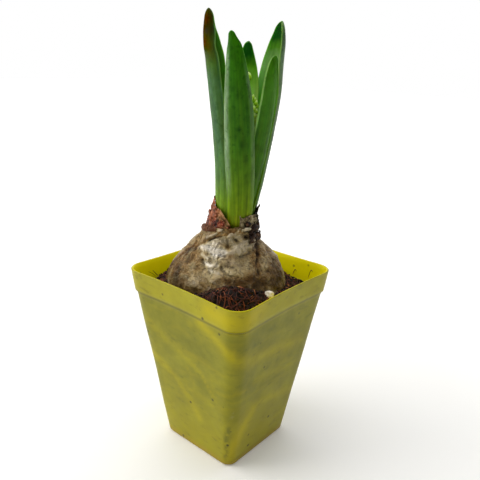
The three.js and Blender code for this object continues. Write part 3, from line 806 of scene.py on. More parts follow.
def nearness(angle, z, radius, places, width):
    """How close a place on the bulb is to a line through places: 1 on it, 0 away from it."""
    if min(abs(z - row[1]) for row in places) > 4 * width + 3:
        return 0
    degree = math.radians(1) * radius
    best = min(
        distance_to_run(turned(angle, a0) * degree, z - z0, turned(a1, a0) * degree, z1 - z0)
        for (a0, z0), (a1, z1) in zip(places, places[1:] or places)
    )
    return math.exp(-((best / width) ** 2))


def crumple(point):
    """Sharp little crests, as in paper that was crushed and smoothed out; higher across than up."""
    lying = Vector((point.x, point.y, point.z * 1.5))
    bent = lying + 1.6 * noise.noise_vector(lying / 6)
    broad = 0.24 - abs(noise.noise(bent / 5.2))
    fine = 0.24 - abs(noise.noise(bent / 2.3 + Vector((9, 2, 5))))
    hair = 0.24 - abs(noise.noise(bent / 1.1 + Vector((3, 7, 1))))
    return 1.1 * broad + 0.85 * fine + 0.3 * hair


fold_values, tone_values = [], []
for vertex in bulb.data.vertices:
    point = vertex.co / MM
    x, y, z = point
    middle = smooth(BULB_RINGS, z)[0]
    radius = math.hypot(x - middle, y)
    angle = math.degrees(math.atan2(y, x - middle))
    near_neck = step(99, 114, z)
    outer = step(63, 70, z) * (1 if radius > 12 or z < 110 else 0.2)
    place = max(radius, 1)
    fold = sum(height * nearness(angle, z, place, places, width) for places, width, height in FOLDS)
    pit = sum(depth * nearness(angle, z, place, [(a, level)], size) for a, level, size, depth in PITS)
    upright = Vector((angle / 6.5, z / 15, 0)) + 0.5 * noise.noise_vector(point / 8)
    pleat = (0.28 - abs(noise.noise(upright))) * mix(0.15, 0.75, near_neck)
    paper = crumple(point)
    relief = 0.5 * noise.noise(point / 12) + 0.85 * paper + fold * 1.5 - pit + pleat
    out = Vector((x - middle, y, 0)).normalized()
    steep = 0.4 * step(103, 114, z) * (1 - step(116, 119, z))
    wavy = 0.8 * noise.noise(Vector((angle / 9, 3, 8))) * step(116.5, 119.5, z)
    vertex.co += (out + Vector((0, 0, steep))) * relief * outer * MM
    vertex.co.z += wavy * MM
    fold_values.append(0.5 + 0.7 * fold - 0.5 * pit + 0.5 * paper)
    tone = sum(strength * nearness(angle, z, place, places, width) for places, width, strength in TONE_AND_LIGHT_PATCHES)
    tone_values.append(tone)
marked(bulb, "fold", fold_values)
marked(bulb, "tone", tone_values)
planted(bulb)
smoothed(bulb)
bulb_box = [max(vertex.co[axis] for vertex in bulb.data.vertices) for axis in range(3)]
print("bulb reaches", [round(value, 4) for value in bulb_box])

# %% [markdown]
# ## The bulb's skin
#
# Dry tunic of a blue hyacinth: grey and silvery where the outer scale still lies on, tan to brown
# where it has worn off, with purple-grey patches, dark scars, and soil stains below. Painted shade
# darkens its creases and its lower part, and painted highlights lighten its crests and its lit upper
# front. It is a papery skin over a smooth scale, so it has a soft silky shine on its swells.

# %% Papery tunic
tunic, node = new_material("papery_tunic")
place = node("TexCoord", out="Object")
height = node("SeparateXYZ", [place], out="Z")
fold = node("Attribute", out="Fac", attribute_name="fold")
tone = node("Attribute", out="Fac", attribute_name="tone")
blotch = node("TexNoise", grain(place, 75, 7, 0.65, 0.5))
# Noise moves the edges of the patches, silver and brown and painted light and shade alike, by a few
# millimetres.
wander = node("MapRange", span(blotch, 0.32, 0.68, -0.7, 0.7))
tone = node("add", [tone, wander])
tone = node("MapRange", span(tone, -1.3, 1.9))
skin = node(
    "ValToRGB", [tone],
    stops=[
        (0.05, "#382008"), (0.2, "#6f4d24"), (0.34, "#977848"), (0.46, "#ab9262"), (0.6, "#bda97c"),
        (0.76, "#dccdac"), (1.0, "#fff6e6"),
    ],
)
purple = node("TexNoise", grain(place, 110, 5, distortion=0.8))
purple = node("MapRange", span(purple, 0.54, 0.64, top=0.34))
upper = node("MapRange", span(height, 0.1, 0.11, 0.3))
purple = node("multiply", [purple, upper])
skin = node("blend", [purple, skin, "#74584a"])
grey = node("TexNoise", grain(place, 150, 6, 0.7))
grey = node("MapRange", span(grey, 0.52, 0.62, top=0.5))
skin = node("blend", [grey, skin, "#9f9672"])
# Painted shade in the creases of the skin: dark wandering hairlines, some 3 mm apart, that lie
# more across than up.
lying = node("Mapping", {"Vector": place, "Scale": (1, 1, 1.8)})
ridge = node("TexNoise", grain(lying, 150, 5, 0.62, 1.4))
ridge = node("subtract", [ridge, 0.5])
ridge = node("absolute", [ridge])
crackle = node("MapRange", span(ridge, high=0.015, bottom=0.32))
mottle = node("TexNoise", grain(lying, 380, 4, 0.65, 0.8))
mottle_dark = node("MapRange", span(mottle, 0.37, 0.45, 0.5))
painted_crackle_shade = node("multiply", [crackle, mottle_dark])
skin = node("blend", [painted_crackle_shade, "#2e2010", skin])
# Painted shade in the low places of the relief and in the pits, and painted highlight on its crests.
painted_crease_shade = node("MapRange", span(fold, 0.1, 0.44, 0.25))
skin = node("blend", [painted_crease_shade, "#2a1e0e", skin])
painted_crest_highlight = node("MapRange", span(fold, 0.6, 0.95, top=0.55))
skin = node("blend", [painted_crest_highlight, skin, "#dccdb2"])
# Soil stains the tunic brown up to a wavy line some 5 mm above the coir, and the same darkening
# paints shade on the lower bulb.
stain_and_shade = node("multiply", [blotch, 0.04])
stain_and_shade = node("add", [height, stain_and_shade])
stain_and_shade = node("MapRange", span(stain_and_shade, 0.108, 0.126, 0.12))
skin = node("blend", [stain_and_shade, "#4c3c22", skin])
gloss = node("MapRange", span(tone, 0.3, 0.8, 0.5, 0.24))
furrow = node("MapRange", span(ridge, high=0.06))
bump = node("Bump", {"Height": mottle, "Strength": 0.6, "Distance": 0.0014})
bump = node("Bump", {"Height": furrow, "Strength": 0.7, "Distance": 0.0006, "Normal": bump})
shine = node("MapRange", span(tone, 0.3, 0.8, 0.12, 0.5))
surface(node, {"Base Color": skin, "Roughness": gloss, "Specular IOR Level": shine, "Normal": bump})
dressed(bulb, tunic, "bulb_skin", "bulb")

# %% [markdown]
# ## Torn skins of the neck
#
# Above the collar the old scales end in torn, crumpled flaps: brick red and shiny on the left, where
# they sheathe the leaves, and grey brown on the right. Each flap is a grid bent round the neck. Its
# top edge is torn by noise, it is crumpled by noise, and Solidify gives it the thickness of paper.


# %% A torn flap
PAPER = 0.3


def flap(name, start, end, foot, top, radius, lean, tear, rough, curl=0.0, middle=(-3.1, -0.2), seed=0):
    """A torn skin from one angle to another; its foot and its top are tables over 0 to 1."""
    columns, rows = max(16, int(abs(end - start) / 2.2)), 24
    piece = added(
        bpy.ops.mesh.primitive_grid_add, name, x_subdivisions=columns, y_subdivisions=rows, size=2,
    )
    shift = Vector((seed * 7.3, seed * 3.1, seed))
    for vertex in piece.data.vertices:
        around, up = (vertex.co.x + 1) / 2, (vertex.co.y + 1) / 2
        angle = mix(start, end, around)
        ragged = noise.noise(Vector((angle / 5, seed * 5, 0)))
        ragged += 0.7 * noise.noise(Vector((angle / 1.8, seed, 3)))
        low = smooth(foot, around)[0]
        high = smooth(top, around)[0] + tear * ragged
        z = mix(low, high, up)
        place = Vector((angle / 5, z, 0)) + shift
        crush = 0.5 - 1.7 * abs(noise.noise(place / 2.4)) - 0.9 * abs(noise.noise(place / 1.1 + shift))
        crush *= rough * step(0, 0.25, up)
        reach = radius + lean * (z - low) + crush * 1.5 + curl * math.sin(math.pi * up)
        vertex.co = polar(angle, reach, z + 0.6 * crush, middle)
    modified(piece, "SOLIDIFY", thickness=PAPER * MM, offset=0)
    modified(piece, "SUBSURF", levels=1, render_levels=1)
    planted(piece)
    return piece


def flaps(name, table, middle, seed):
    pieces = [flap(name, *row, middle=middle, seed=seed + i) for i, row in enumerate(table)]
    piece = joined(pieces, name)
    smoothed(piece, sharp=32)
    return piece


# From angle, to angle, foot, top, radius, lean, tear, roughness, curl.
RED_FLAPS = [
    (
        -268, -86, [(0, 116.8), (1, 118)],
        [
            (0, 124), (0.25, 127), (0.4, 130.5), (0.48, 134.6), (0.53, 134.2), (0.58, 133), (0.64, 131.2),
            (0.7, 130), (0.78, 129.8), (0.84, 128.8), (0.89, 127.2), (0.94, 125.2), (1, 122.4),
        ],
        11.9, -0.25, 0.4, 1,
    ),
    (
        -226, -112, [(0, 116.8), (1, 117.4)],
        [(0, 122), (0.3, 129), (0.45, 131), (0.7, 128), (0.85, 127), (1, 123)], 11.9, -0.23, 0.6, 1,
    ),
    (
        -200, -128, [(0, 117), (1, 117.6)], [(0, 121), (0.3, 127.6), (0.6, 126), (1, 123)], 12.2, -0.24,
        0.6, 1.2,
    ),
    (
        -158, -96, [(0, 117.6), (1, 118.6)], [(0, 124), (0.3, 127.4), (0.7, 126), (1, 123)], 12.1,
        -0.19, 0.6, 1.4,
    ),
    (-140, -92, [(0, 118.6), (1, 119.4)], [(0, 123), (0.5, 124.4), (1, 122)], 12.2, -0.2, 0.6, 1),
]
red_skin = flaps("red_neck_skin", RED_FLAPS, (-3.1, -0.2), 1)
# The skin fades to tan towards its right edge.
sides = [vertex.co.x + vertex.co.y for vertex in red_skin.data.vertices]
left_end, right_end = min(sides), max(sides)
marked(red_skin, "tan", [step(0.35, 0.6, (side - left_end) / (right_end - left_end)) for side in sides])

# %% Brick red tunic
RED_STOPS = [(0.38, "#1e0802"), (0.46, "#682410"), (0.54, "#9a4628"), (0.64, "#d08c66")]
red_material, node, skin, bump = speckled("brick_red_tunic", RED_STOPS, 260, 5, 0.7, 1.0, 0.0016)
faded = node("TexNoise", grain(node("TexCoord", out="Object"), 150, 3))
faded = node("MapRange", span(faded, 0.42, 0.55, top=0.8))
tan = node("Attribute", out="Fac", attribute_name="tan")
tan = node("MapRange", span(tan, bottom=0.2))
faded = node("multiply", [faded, tan])
skin = node("blend", [faded, skin, "#b48a58"])
surface(node, {"Base Color": skin, "Roughness": 0.36, "Specular IOR Level": 0.3, "Normal": bump})
dressed(red_skin, red_material, "red_skin", "neck_skin_red")

# %% Grey brown flaps on the right
GREY_FLAPS = [
    (
        -74, -14, [(0, 119.6), (0.3, 118), (1, 117.4)],
        [(0, 128.4), (0.12, 126.4), (0.3, 127.3), (0.5, 127.6), (0.9, 126.8), (1, 125)], 11.3, 0.02, 0.4,
        0.9, 0.3,
    ),
    (
        -10, 34, [(0, 117), (1, 117)], [(0, 125), (0.3, 125.6), (0.5, 124), (0.7, 126.4), (1, 123)], 11.7,
        0.02, 0.8, 1,
    ),
    (-72, -50, [(0, 120.2), (1, 120)], [(0, 121.8), (0.5, 122.2), (1, 121.4)], 12.6, 0, 0.3, 0.5, 0.5),
    (0, 76, [(0, 116.4), (1, 116.6)], [(0, 123), (0.2, 126), (0.5, 123.6), (1, 119)], 11.6, 0.03, 0.8, 0.8),
]
grey_skin = flaps("grey_neck_skin", GREY_FLAPS, (-1.5, -0.3), 11)

GREY_STOPS = [(0.36, "#1c1206"), (0.42, "#504126"), (0.5, "#7e704a"), (0.62, "#ac9e78")]
grey_material, node, skin, bump = speckled("grey_brown_tunic", GREY_STOPS, 300, 5, 0.65, 0.5, 0.0006)
surface(node, {"Base Color": skin, "Roughness": 0.55, "Specular IOR Level": 0.3, "Normal": bump})
dressed(grey_skin, grey_material, "bulb_skin")

# %% Dark crushed skin and the lips of the collar
# Near-black crushed skin on the right of the neck: dark brown skin, and painted shade in the hollows there.
DARK_FLAPS = [
    (-54, -38, [(0, 122.2), (1, 122)], [(0, 123.8), (0.5, 125), (1, 123.6)], 12.2, 0, 0.4, 0.6, 0.3),
    (
        -48, 10, [(0, 117.6), (1, 117.2)], [(0, 121), (0.3, 123), (0.6, 121.4), (0.8, 123), (1, 121.4)],
        13.4, 0.03, 0.8, 1.2, 0.3,
    ),
    (
        -50, 10, [(0, 114.2), (1, 113.2)], [(0, 117.4), (0.3, 119), (0.6, 117.6), (1, 118)], 14.4, -0.12,
        0.7, 1.1, 0.7,
    ),
    (-18, 12, [(0, 118.4), (1, 118.4)], [(0, 120.6), (0.5, 123.6), (1, 120.8)], 13, 0.12, 0.4, 0.6),
    (
        -16, 16, [(0, 123.2), (1, 123.2)], [(0, 127), (0.25, 130.4), (0.5, 131.2), (0.75, 129.8), (1, 128)],
        11.6, 0.26, 0.5, 0.7,
    ),
]
dark_skin = flaps("dark_neck_skin", DARK_FLAPS, (-2.6, -0.3), 31)
DARK_STOPS = [(0.4, "#0b0401"), (0.52, "#2a1405"), (0.66, "#6a4526")]
dark_material, node, skin, bump = speckled("dark_tunic", DARK_STOPS, 380, 5, 0.65, 0.5, 0.0006)
warm = node("Attribute", out="Fac", attribute_name="warm")
skin = node("blend", [warm, skin, "#6c3e20"])
surface(node, {"Base Color": skin, "Roughness": 0.6, "Specular IOR Level": 0.2, "Normal": bump})
dressed(dark_skin, dark_material, "bulb_skin")

LIP_FLAPS = [
    (-70, -52, [(0, 120), (1, 119.8)], [(0, 121.6), (0.5, 122), (1, 121.4)], 12.9, 0, 0.2, 0.3, 0.5),
    (
        -136, -78, [(0, 115.8), (0.5, 117.6), (1, 118.8)], [(0, 118.4), (0.5, 121), (1, 122)], 13.2, -0.1,
        0.6, 0.6, 0.5,
    ),
    (-104, -52, [(0, 118.4), (1, 118.6)], [(0, 121.2), (0.5, 121.9), (1, 122)], 12.4, 0.05, 0.6, 0.5, 0.4),
    (
        -170, -128, [(0, 114.8), (1, 115.4)], [(0, 118.6), (0.5, 119.4), (1, 118)], 13.2, -0.12, 0.6, 0.5,
        0.5,
    ),
    (-84, -58, [(0, 119.4), (1, 119)], [(0, 121.6), (0.5, 122.4), (1, 121.4)], 11.9, 0, 0.4, 0.4, 0.2),
]
ROLL_FLAPS = [
    (
        -200, -118, [(0, 116.4), (0.25, 116.8), (0.62, 118.3), (1, 120)],
        [(0, 118.8), (0.25, 119.8), (0.62, 121.7), (1, 122)], 13.3, -0.05, 0.3, 0.7, 0.5,
    ),
]
roll_skin = flaps("rolled_brown_skin", ROLL_FLAPS, (-3.1, -0.2), 6)
marked(roll_skin, "warm", [0.55] * len(roll_skin.data.vertices))
dressed(roll_skin, dark_material, "bulb_skin")
PALE_FLAPS = [
    (-65, -43, [(0, 120.6), (1, 120.9)], [(0, 121.6), (0.5, 122.3), (1, 121.8)], 14, 0, 0.2, 0.3, 0.3),
]
pale_skin = flaps("pale_scale", PALE_FLAPS, (-3.0, -0.2), 71)
marked(pale_skin, "fold", [0.6] * len(pale_skin.data.vertices))
marked(pale_skin, "tone", [1.0] * len(pale_skin.data.vertices))
dressed(pale_skin, tunic, "bulb_skin")
lip_skin = flaps("collar_lips", LIP_FLAPS, (-3.0, -0.2), 51)
marked(lip_skin, "fold", [0.5] * len(lip_skin.data.vertices))
marked(lip_skin, "tone", [-0.3] * len(lip_skin.data.vertices))
dressed(lip_skin, tunic, "bulb_skin")

# %% [markdown]
# ## The leaves
#
# A young hyacinth leaf is a thick, smooth channel that ends in a hood. Each one is a grid that is
# bent along measured stations: the line of its keel, the way its back faces, the radius of its
# channel and half its width round the channel. Solidify gives it its thickness, less at the margins,
# and subdivision rounds the margins.

# %% Leaf stations
# Thickness, height of the rounded end, then stations: height, x, y, facing (degrees), radius of the
# channel, half the width round it; mm, plant's frame.
LEAVES = {
    "leaf_front": (1.5, 1.2, [
        (113.4, 1.1, -8.1, -82, 8.15, 7),
        (127, 1.7, -9.5, -84, 8.6, 6.6),
        (140, 1.6, -11.1, -86, 8.6, 7.2),
        (157, 0.6, -12.3, -88, 8.4, 8),
        (176, -0.7, -13.1, -90, 8, 7.6),
        (192, -2.2, -13.3, -92, 6.8, 5.6),
        (203, -3.5, -12.7, -94, 4.8, 3.5),
        (206, -4.3, -12.2, -94, 3.6, 2.2),
        (209.2, -5.2, -11.5, -94, 2, 1.1),
    ]),
    "leaf_left": (1.4, 3.2, [
        (113.4, -7.2, -1.65, -165, 6.4, 6.7),
        (127, -9.4, -1.5, -168, 7, 8.4),
        (137, -10, -1.2, -170, 7.4, 9.8),
        (152, -10.75, -0.8, -175, 7.6, 10.8),
        (169, -12.55, -0.5, -180, 7.6, 11.2),
        (186, -14.55, -0.1, -186, 7.2, 11),
        (197, -16.05, 0.5, -190, 6.2, 10.6),
        (203, -16.9, 0.5, -190, 5.6, 9.4),
        (209, -17.4, 0, -182, 4.4, 8),
        (214, -17.1, 0, -180, 2.8, 5.8),
        (218.4, -16.5, 0, -180, 2.1, 4.3),
    ]),
    "leaf_back": (1.3, 1.5, [
        (113.4, 0, 4.6, 90, 4.6, 4.2),
        (127, 0.2, 5.2, 90, 5, 4.9),
        (137, 0.4, 6, 90, 5.4, 5.4),
        (152, 0.5, 7.1, 90, 6, 6.2),
        (169, 1.1, 8.3, 90, 6.9, 7.4),
        (184, 1.8, 8.7, 90, 7, 7.7),
        (193, 2, 8.8, 89, 6.4, 6.1),
        (200, 2.2, 8.6, 88, 4.4, 3.8),
        (203.6, 2.4, 8.2, 88, 2.8, 2.3),
        (205.6, 2.5, 7.7, 88, 2.2, 1.5),
    ]),
    "leaf_right_outer": (1.4, 3.2, [
        (113.4, 5.5, 3.2, 30, 6.4, 6.7),
        (127, 7.1, 4.7, 38, 7, 8),
        (137, 8.9, 5.4, 42, 7.3, 8.8),
        (149.5, 11.15, 5.7, 42, 7.6, 9.2),
        (166, 13.7, 5.9, 42, 7.7, 9.7),
        (183, 15.8, 5.7, 42.6, 7.6, 10),
        (195, 17, 4.5, 36, 6.6, 9.1),
        (201, 17.6, 3.6, 31, 5.9, 8.1),
        (206, 17.9, 2.95, 29, 5.1, 6.8),
        (211, 17.7, 2.05, 25, 3.6, 4.6),
        (214.3, 17.4, 1.3, 20, 2.6, 3.3),
    ]),
    "leaf_right_inner": (1.3, 1.4, [
        (113.4, 3.25, -3.25, -45, 4.6, 4.6),
        (127, 5.1, -4, -47, 5.2, 5),
        (137, 6.9, -4.8, -50, 5.8, 5.4),
        (149.5, 9.1, -5.7, -52, 6.4, 5.5),
        (166, 11.6, -6.2, -52, 6.6, 5.4),
        (181, 13.4, -6.03, -52, 6.8, 4.9),
        (190, 13.95, -5.5, -54, 5.6, 4.1),
        (196, 14.35, -4.8, -56, 3.8, 2.9),
        (199.6, 14.8, -4, -56, 2.2, 1.6),
    ]),
}
LEAF_COLUMNS = 20
LEAF_ROWS = 84
LEAF_EDGE = 0.45
LEAF_TIP = 0.8


# %% Bending a grid into a leaf
def keel_at(stations, z):
    x, y, *_ = smooth(stations, z)
    return Vector((x, y, z))


# Where the bloom of wax still lies, and where a pale painted sheen stands for the light that the
# flanks and margins reflect: side (-1 to 1 across), width, strength, from and to a height.
BLOOM_AND_SHEEN = {
    "leaf_front": [(-0.84, 0.26, 1, 146, 199), (0.86, 0.2, 0.42, 140, 192)],
    "leaf_left": [(0.4, 0.5, 0.75, 146, 190), (-0.5, 0.4, 0.6, 140, 190), (1, 0.08, 1.2, 140, 214)],
    "leaf_back": [(0, 0.5, 0.6, 150, 190)],
    "leaf_right_outer": [(-0.8, 0.35, 1, 140, 204), (0.3, 0.5, 0.6, 140, 196)],
    "leaf_right_inner": [(0.8, 0.3, 0.3, 150, 190), (-1, 0.13, 2.6, 140, 220)],
}


# Water marks: side, height, half width and half height in mm, strength.
MARKS = {
    "leaf_front": [
        (0, 182.9, 0.7, 1, 0.6),
        (-0.3, 185.4, 0.6, 0.8, 0.4),
        (0.5, 177.4, 0.7, 1.7, 0.6),
        (0.4, 173, 0.9, 1, 0.4),
        (0, 168.4, 1.2, 1.3, 1),
        (-0.2, 164.9, 1, 1.1, 0.6),
        (0.12, 161.4, 1.1, 2.8, 0.8),
        (0.05, 157.6, 0.9, 1.4, 0.5),
        (0.3, 154.4, 0.9, 1, 0.4),
        (-0.35, 174, 0.5, 0.8, 0.35),
    ],
    "leaf_left": [
        (-0.5, 181.4, 0.5, 0.9, 0.6),
        (0.7, 177.4, 0.5, 0.8, 0.5),
        (-0.4, 170.9, 0.5, 0.8, 0.5),
        (-0.4, 184.4, 0.5, 0.7, 0.5),
        (-0.6, 173.4, 0.5, 0.8, 0.5),
    ],
    "leaf_back": [(0.3, 160, 0.8, 1.6, 0.5), (-0.2, 172, 0.7, 1.2, 0.4)],
    "leaf_right_outer": [(0.2, 176, 0.8, 1.4, 0.6), (-0.1, 160, 0.9, 1.8, 0.5)],
    "leaf_right_inner": [(0.1, 170, 0.6, 1.2, 0.4), (0.3, 158, 0.7, 1.2, 0.4)],
}


# Where the cold turned a leaf red brown, in the same terms.
CHILLED = {
    "leaf_left": [
        (0.05, 209, 2.2, 5.5, 1),
        (0.35, 204.5, 2.6, 3, 0.95),
        (0.6, 203, 1.6, 2.4, 0.6),
        (0.4, 214, 2.2, 3.2, 0.85),
        (-0.4, 207, 3, 4, 0.6),
    ]
}


def mark_at(table, name, side, z, half):
    """Strength of a leaf's marks at a place on it; each mark is an oval that fades out."""
    marks = []
    for across, height, width, tall, strength in table.get(name, []):
        beside, above = (side - across) * half / width, (z - height) / tall
        marks.append(strength * math.exp(-(beside**2) - above**2))
    return max(marks, default=0)


def bloom_and_sheen_at(name, side, z):
    total = 0
    for middle, width, strength, low, high in BLOOM_AND_SHEEN[name]:
        along = step(low - 14, low + 8, z) * (1 - step(high - 4, high + 8, z))
        total += strength * along * math.exp(-(((side - middle) / width) ** 4))
    return total


def leaf(name, base, cap, stations):
    piece = added(
        bpy.ops.mesh.primitive_grid_add, name + "_blade", x_subdivisions=LEAF_COLUMNS,
        y_subdivisions=LEAF_ROWS, size=2, calc_uvs=True,
    )
    group = piece.vertex_groups.new(name="thickness")
    bottom, top = stations[0][0], stations[-1][0]
    outward, bloom_and_sheen, marks, chilled = [], [], [], []
    for vertex in piece.data.vertices:
        side, share = vertex.co.x, (vertex.co.y + 1) / 2
        z = mix(bottom, top, 1 - (1 - share) ** 1.7)
        _, _, facing, radius, half = smooth(stations, z)
        keel = keel_at(stations, z)
        above, below = keel_at(stations, min(z + 0.2, top)), keel_at(stations, max(z - 0.2, bottom))
        along = (above - below).normalized()
        turn = math.radians(facing)
        out = Vector((math.cos(turn), math.sin(turn), 0))
        out = (out - out.dot(along) * along).normalized()
        beside = along.cross(out)
        angle = side * half / radius
        wave = 0.16 * noise.noise(Vector((side * 1.5, z / 16, keel.x)))
        point = keel + out * ((radius + wave) * math.cos(angle) - radius)
        point += beside * (radius + wave) * math.sin(angle)
        turned_in = half / radius
        centre = keel + out * radius * (math.sin(turned_in) / turned_in - 1)
        into_cap = max(0, (z - top + cap) / cap)
        point = centre + (point - centre) * math.sqrt(1 - 0.985 * into_cap**2)
        vertex.co = point * MM
        outward.append(out * math.cos(angle) + beside * math.sin(angle))
        bloom_and_sheen.append(bloom_and_sheen_at(name, side, z))
        marks.append(mark_at(MARKS, name, side, z, half))
        chilled.append(mark_at(CHILLED, name, side, z, half))
        thick = mix(base, LEAF_TIP, share) / base
        group.add([vertex.index], thick * mix(1, LEAF_EDGE, side**4), "REPLACE")
    count = len(outward)
    marked(piece, "bloom_and_sheen", bloom_and_sheen)
    marked(piece, "mark", marks)
    marked(piece, "chilled", chilled)
    start = [vertex.co.copy() for vertex in piece.data.vertices]
    modified(piece, "SOLIDIFY", thickness=base * MM, offset=0, vertex_group="thickness")
    middle = count // 2
    first_is_out = (piece.data.vertices[middle].co - start[middle]).dot(outward[middle]) > 0
    sides = [float((i < count) == first_is_out) for i in range(len(piece.data.vertices))]
    marked(piece, "outer_face", sides)
    modified(piece, "SUBSURF", levels=1, render_levels=1)
    planted(piece)
    smoothed(piece)
    return piece


# %% [markdown]
# ## The leaves' finish
#
# A living leaf: thick and waxy, with fine parallel veins, a bluish bloom over green, yellow green
# at the sheathed base, paler margins, and water marks. A pale painted sheen goes with the bloom on
# the flanks and margins. The inner face is a clearer green, with painted shade under the hood and
# painted light where daylight comes through near the middle. The veins are about 0.5 mm apart. Each
# leaf has colours of its own, from the collar to the tip: the left one ends in red brown where the
# cold caught it.


# %% Waxy leaf
def leaf_finish(name, outer_stops, inner_stops, bloom_and_sheen, spots, glow):
    material, node = new_material(name)
    place = node("TexCoord", out="Object")
    uv = place.node.outputs["UV"]
    height = node("SeparateXYZ", [place], out="Z")
    drift = node("TexNoise", grain(place, 110, 3))
    drift = node("MapRange", span(drift, bottom=-0.007, top=0.007))
    height = node("add", [height, drift])
    share = node("MapRange", span(height, 0.118, 0.218))
    outer = node("ValToRGB", [share], stops=outer_stops)
    inner = node("ValToRGB", [share], stops=inner_stops)
    # The bloom and its painted sheen are broken into patches a few millimetres wide that run up the leaf.
    stretched = node("Mapping", {"Vector": uv, "Scale": (7, 16, 1)})
    streaky = node("TexNoise", grain(stretched, 1.0, 5, 0.6))
    waxy_sheen = node("Attribute", out="Fac", attribute_name="bloom_and_sheen")
    patchy = node("MapRange", span(streaky, 0.3, 0.6, 0.3))
    waxy_sheen = node("multiply", [waxy_sheen, patchy])
    outer = node("blend", [waxy_sheen, outer, bloom_and_sheen])
    cold = node("Attribute", out="Fac", attribute_name="chilled")
    outer = node("blend", [cold, outer, "#461c00"])
    # Broad stripes of a yellower green, 2 to 3 mm wide.
    bands = node("Mapping", {"Vector": uv, "Scale": (6, 0.9, 1)})
    stripe = node("TexNoise", grain(bands, 1.0, 4))
    stripe = node("MapRange", span(stripe, 0.42, 0.62, top=0.4))
    low = node("MapRange", span(share, 0.5, 0.8, 1, 0))
    stripe = node("multiply", [stripe, low])
    outer = node("blend", [stripe, outer, "#4f7204"])
    # Veins: about twenty light and dark stripes across a leaf, stronger near its base.
    lines = node("Mapping", {"Vector": uv, "Scale": (15, 1.4, 1)})
    veins = node("TexNoise", grain(lines, 1.0, 3))
    depth = node("MapRange", span(share, high=0.5, bottom=0.34, top=0.12))
    tone = node("MapRange", span(veins, 0.35, 0.65, -1))
    tone = node("multiply_add", [tone, depth, 1.0])
    # Mottling of the wax, 2 to 4 mm.
    wax = node("Mapping", {"Vector": place, "Scale": (1, 1, 0.55)})
    wax = node("TexNoise", grain(wax, 300, 5, 0.65))
    wax = node("MapRange", span(wax, 0.35, 0.62, 0.84, 1.16))
    mottled = node("multiply", [tone, wax])
    outer = node("scale", [outer, mottled])
    inner = node("scale", [inner, tone])
    # Water marks, dark green, about 1 mm.
    marks = node("TexNoise", grain(place, 400))
    marks = node("MapRange", span(marks, 0.57, 0.68, top=spots))
    dry = node("MapRange", span(share, 0.22, 0.42))
    marks = node("multiply", [marks, dry])
    seen = node("Attribute", out="Fac", attribute_name="mark")
    marks = node("maximum", [marks, seen])
    outer = node("blend", [marks, outer, "#0b3200"])
    face = node("Attribute", out="Fac", attribute_name="outer_face")
    face = node("MapRange", span(face, 0.4, 0.6))
    green = node("blend", [face, inner, outer])
    across = node("SeparateXYZ", [uv], out="X")
    margin = node("subtract", [across, 0.5])
    margin = node("absolute", [margin])
    margin = node("MapRange", span(margin, 0.47, 0.498, top=0.6))
    green = node("blend", [margin, green, "#84a552"])
    # Painted glow: emission of the inner colour stands for the daylight that comes through the blade
    # and lights its inner face.
    painted_glow = node("blend", [face, inner, "#000000"])
    gloss = node("MapRange", span(streaky, bottom=0.38, top=0.52))
    # The browned tip is dull.
    gleam = node("MapRange", span(cold, high=0.25, bottom=0.09, top=0.0))
    ribs = node("Mapping", {"Vector": uv, "Scale": (34, 1.2, 1)})
    rib = node("TexNoise", grain(ribs, 1.0, 1))
    bump = node("Bump", {"Height": rib, "Strength": 0.13, "Distance": 0.0005})
    surface(node, {
        "Base Color": green, "Roughness": gloss, "Normal": bump, "IOR": 1.45, "Specular IOR Level": gleam,
        "Subsurface Weight": 0.35, "Subsurface Radius": (0.0015, 0.003, 0.0003), "Subsurface Scale": 1.0,
        "Emission Color": painted_glow, "Emission Strength": glow,
    })
    return material


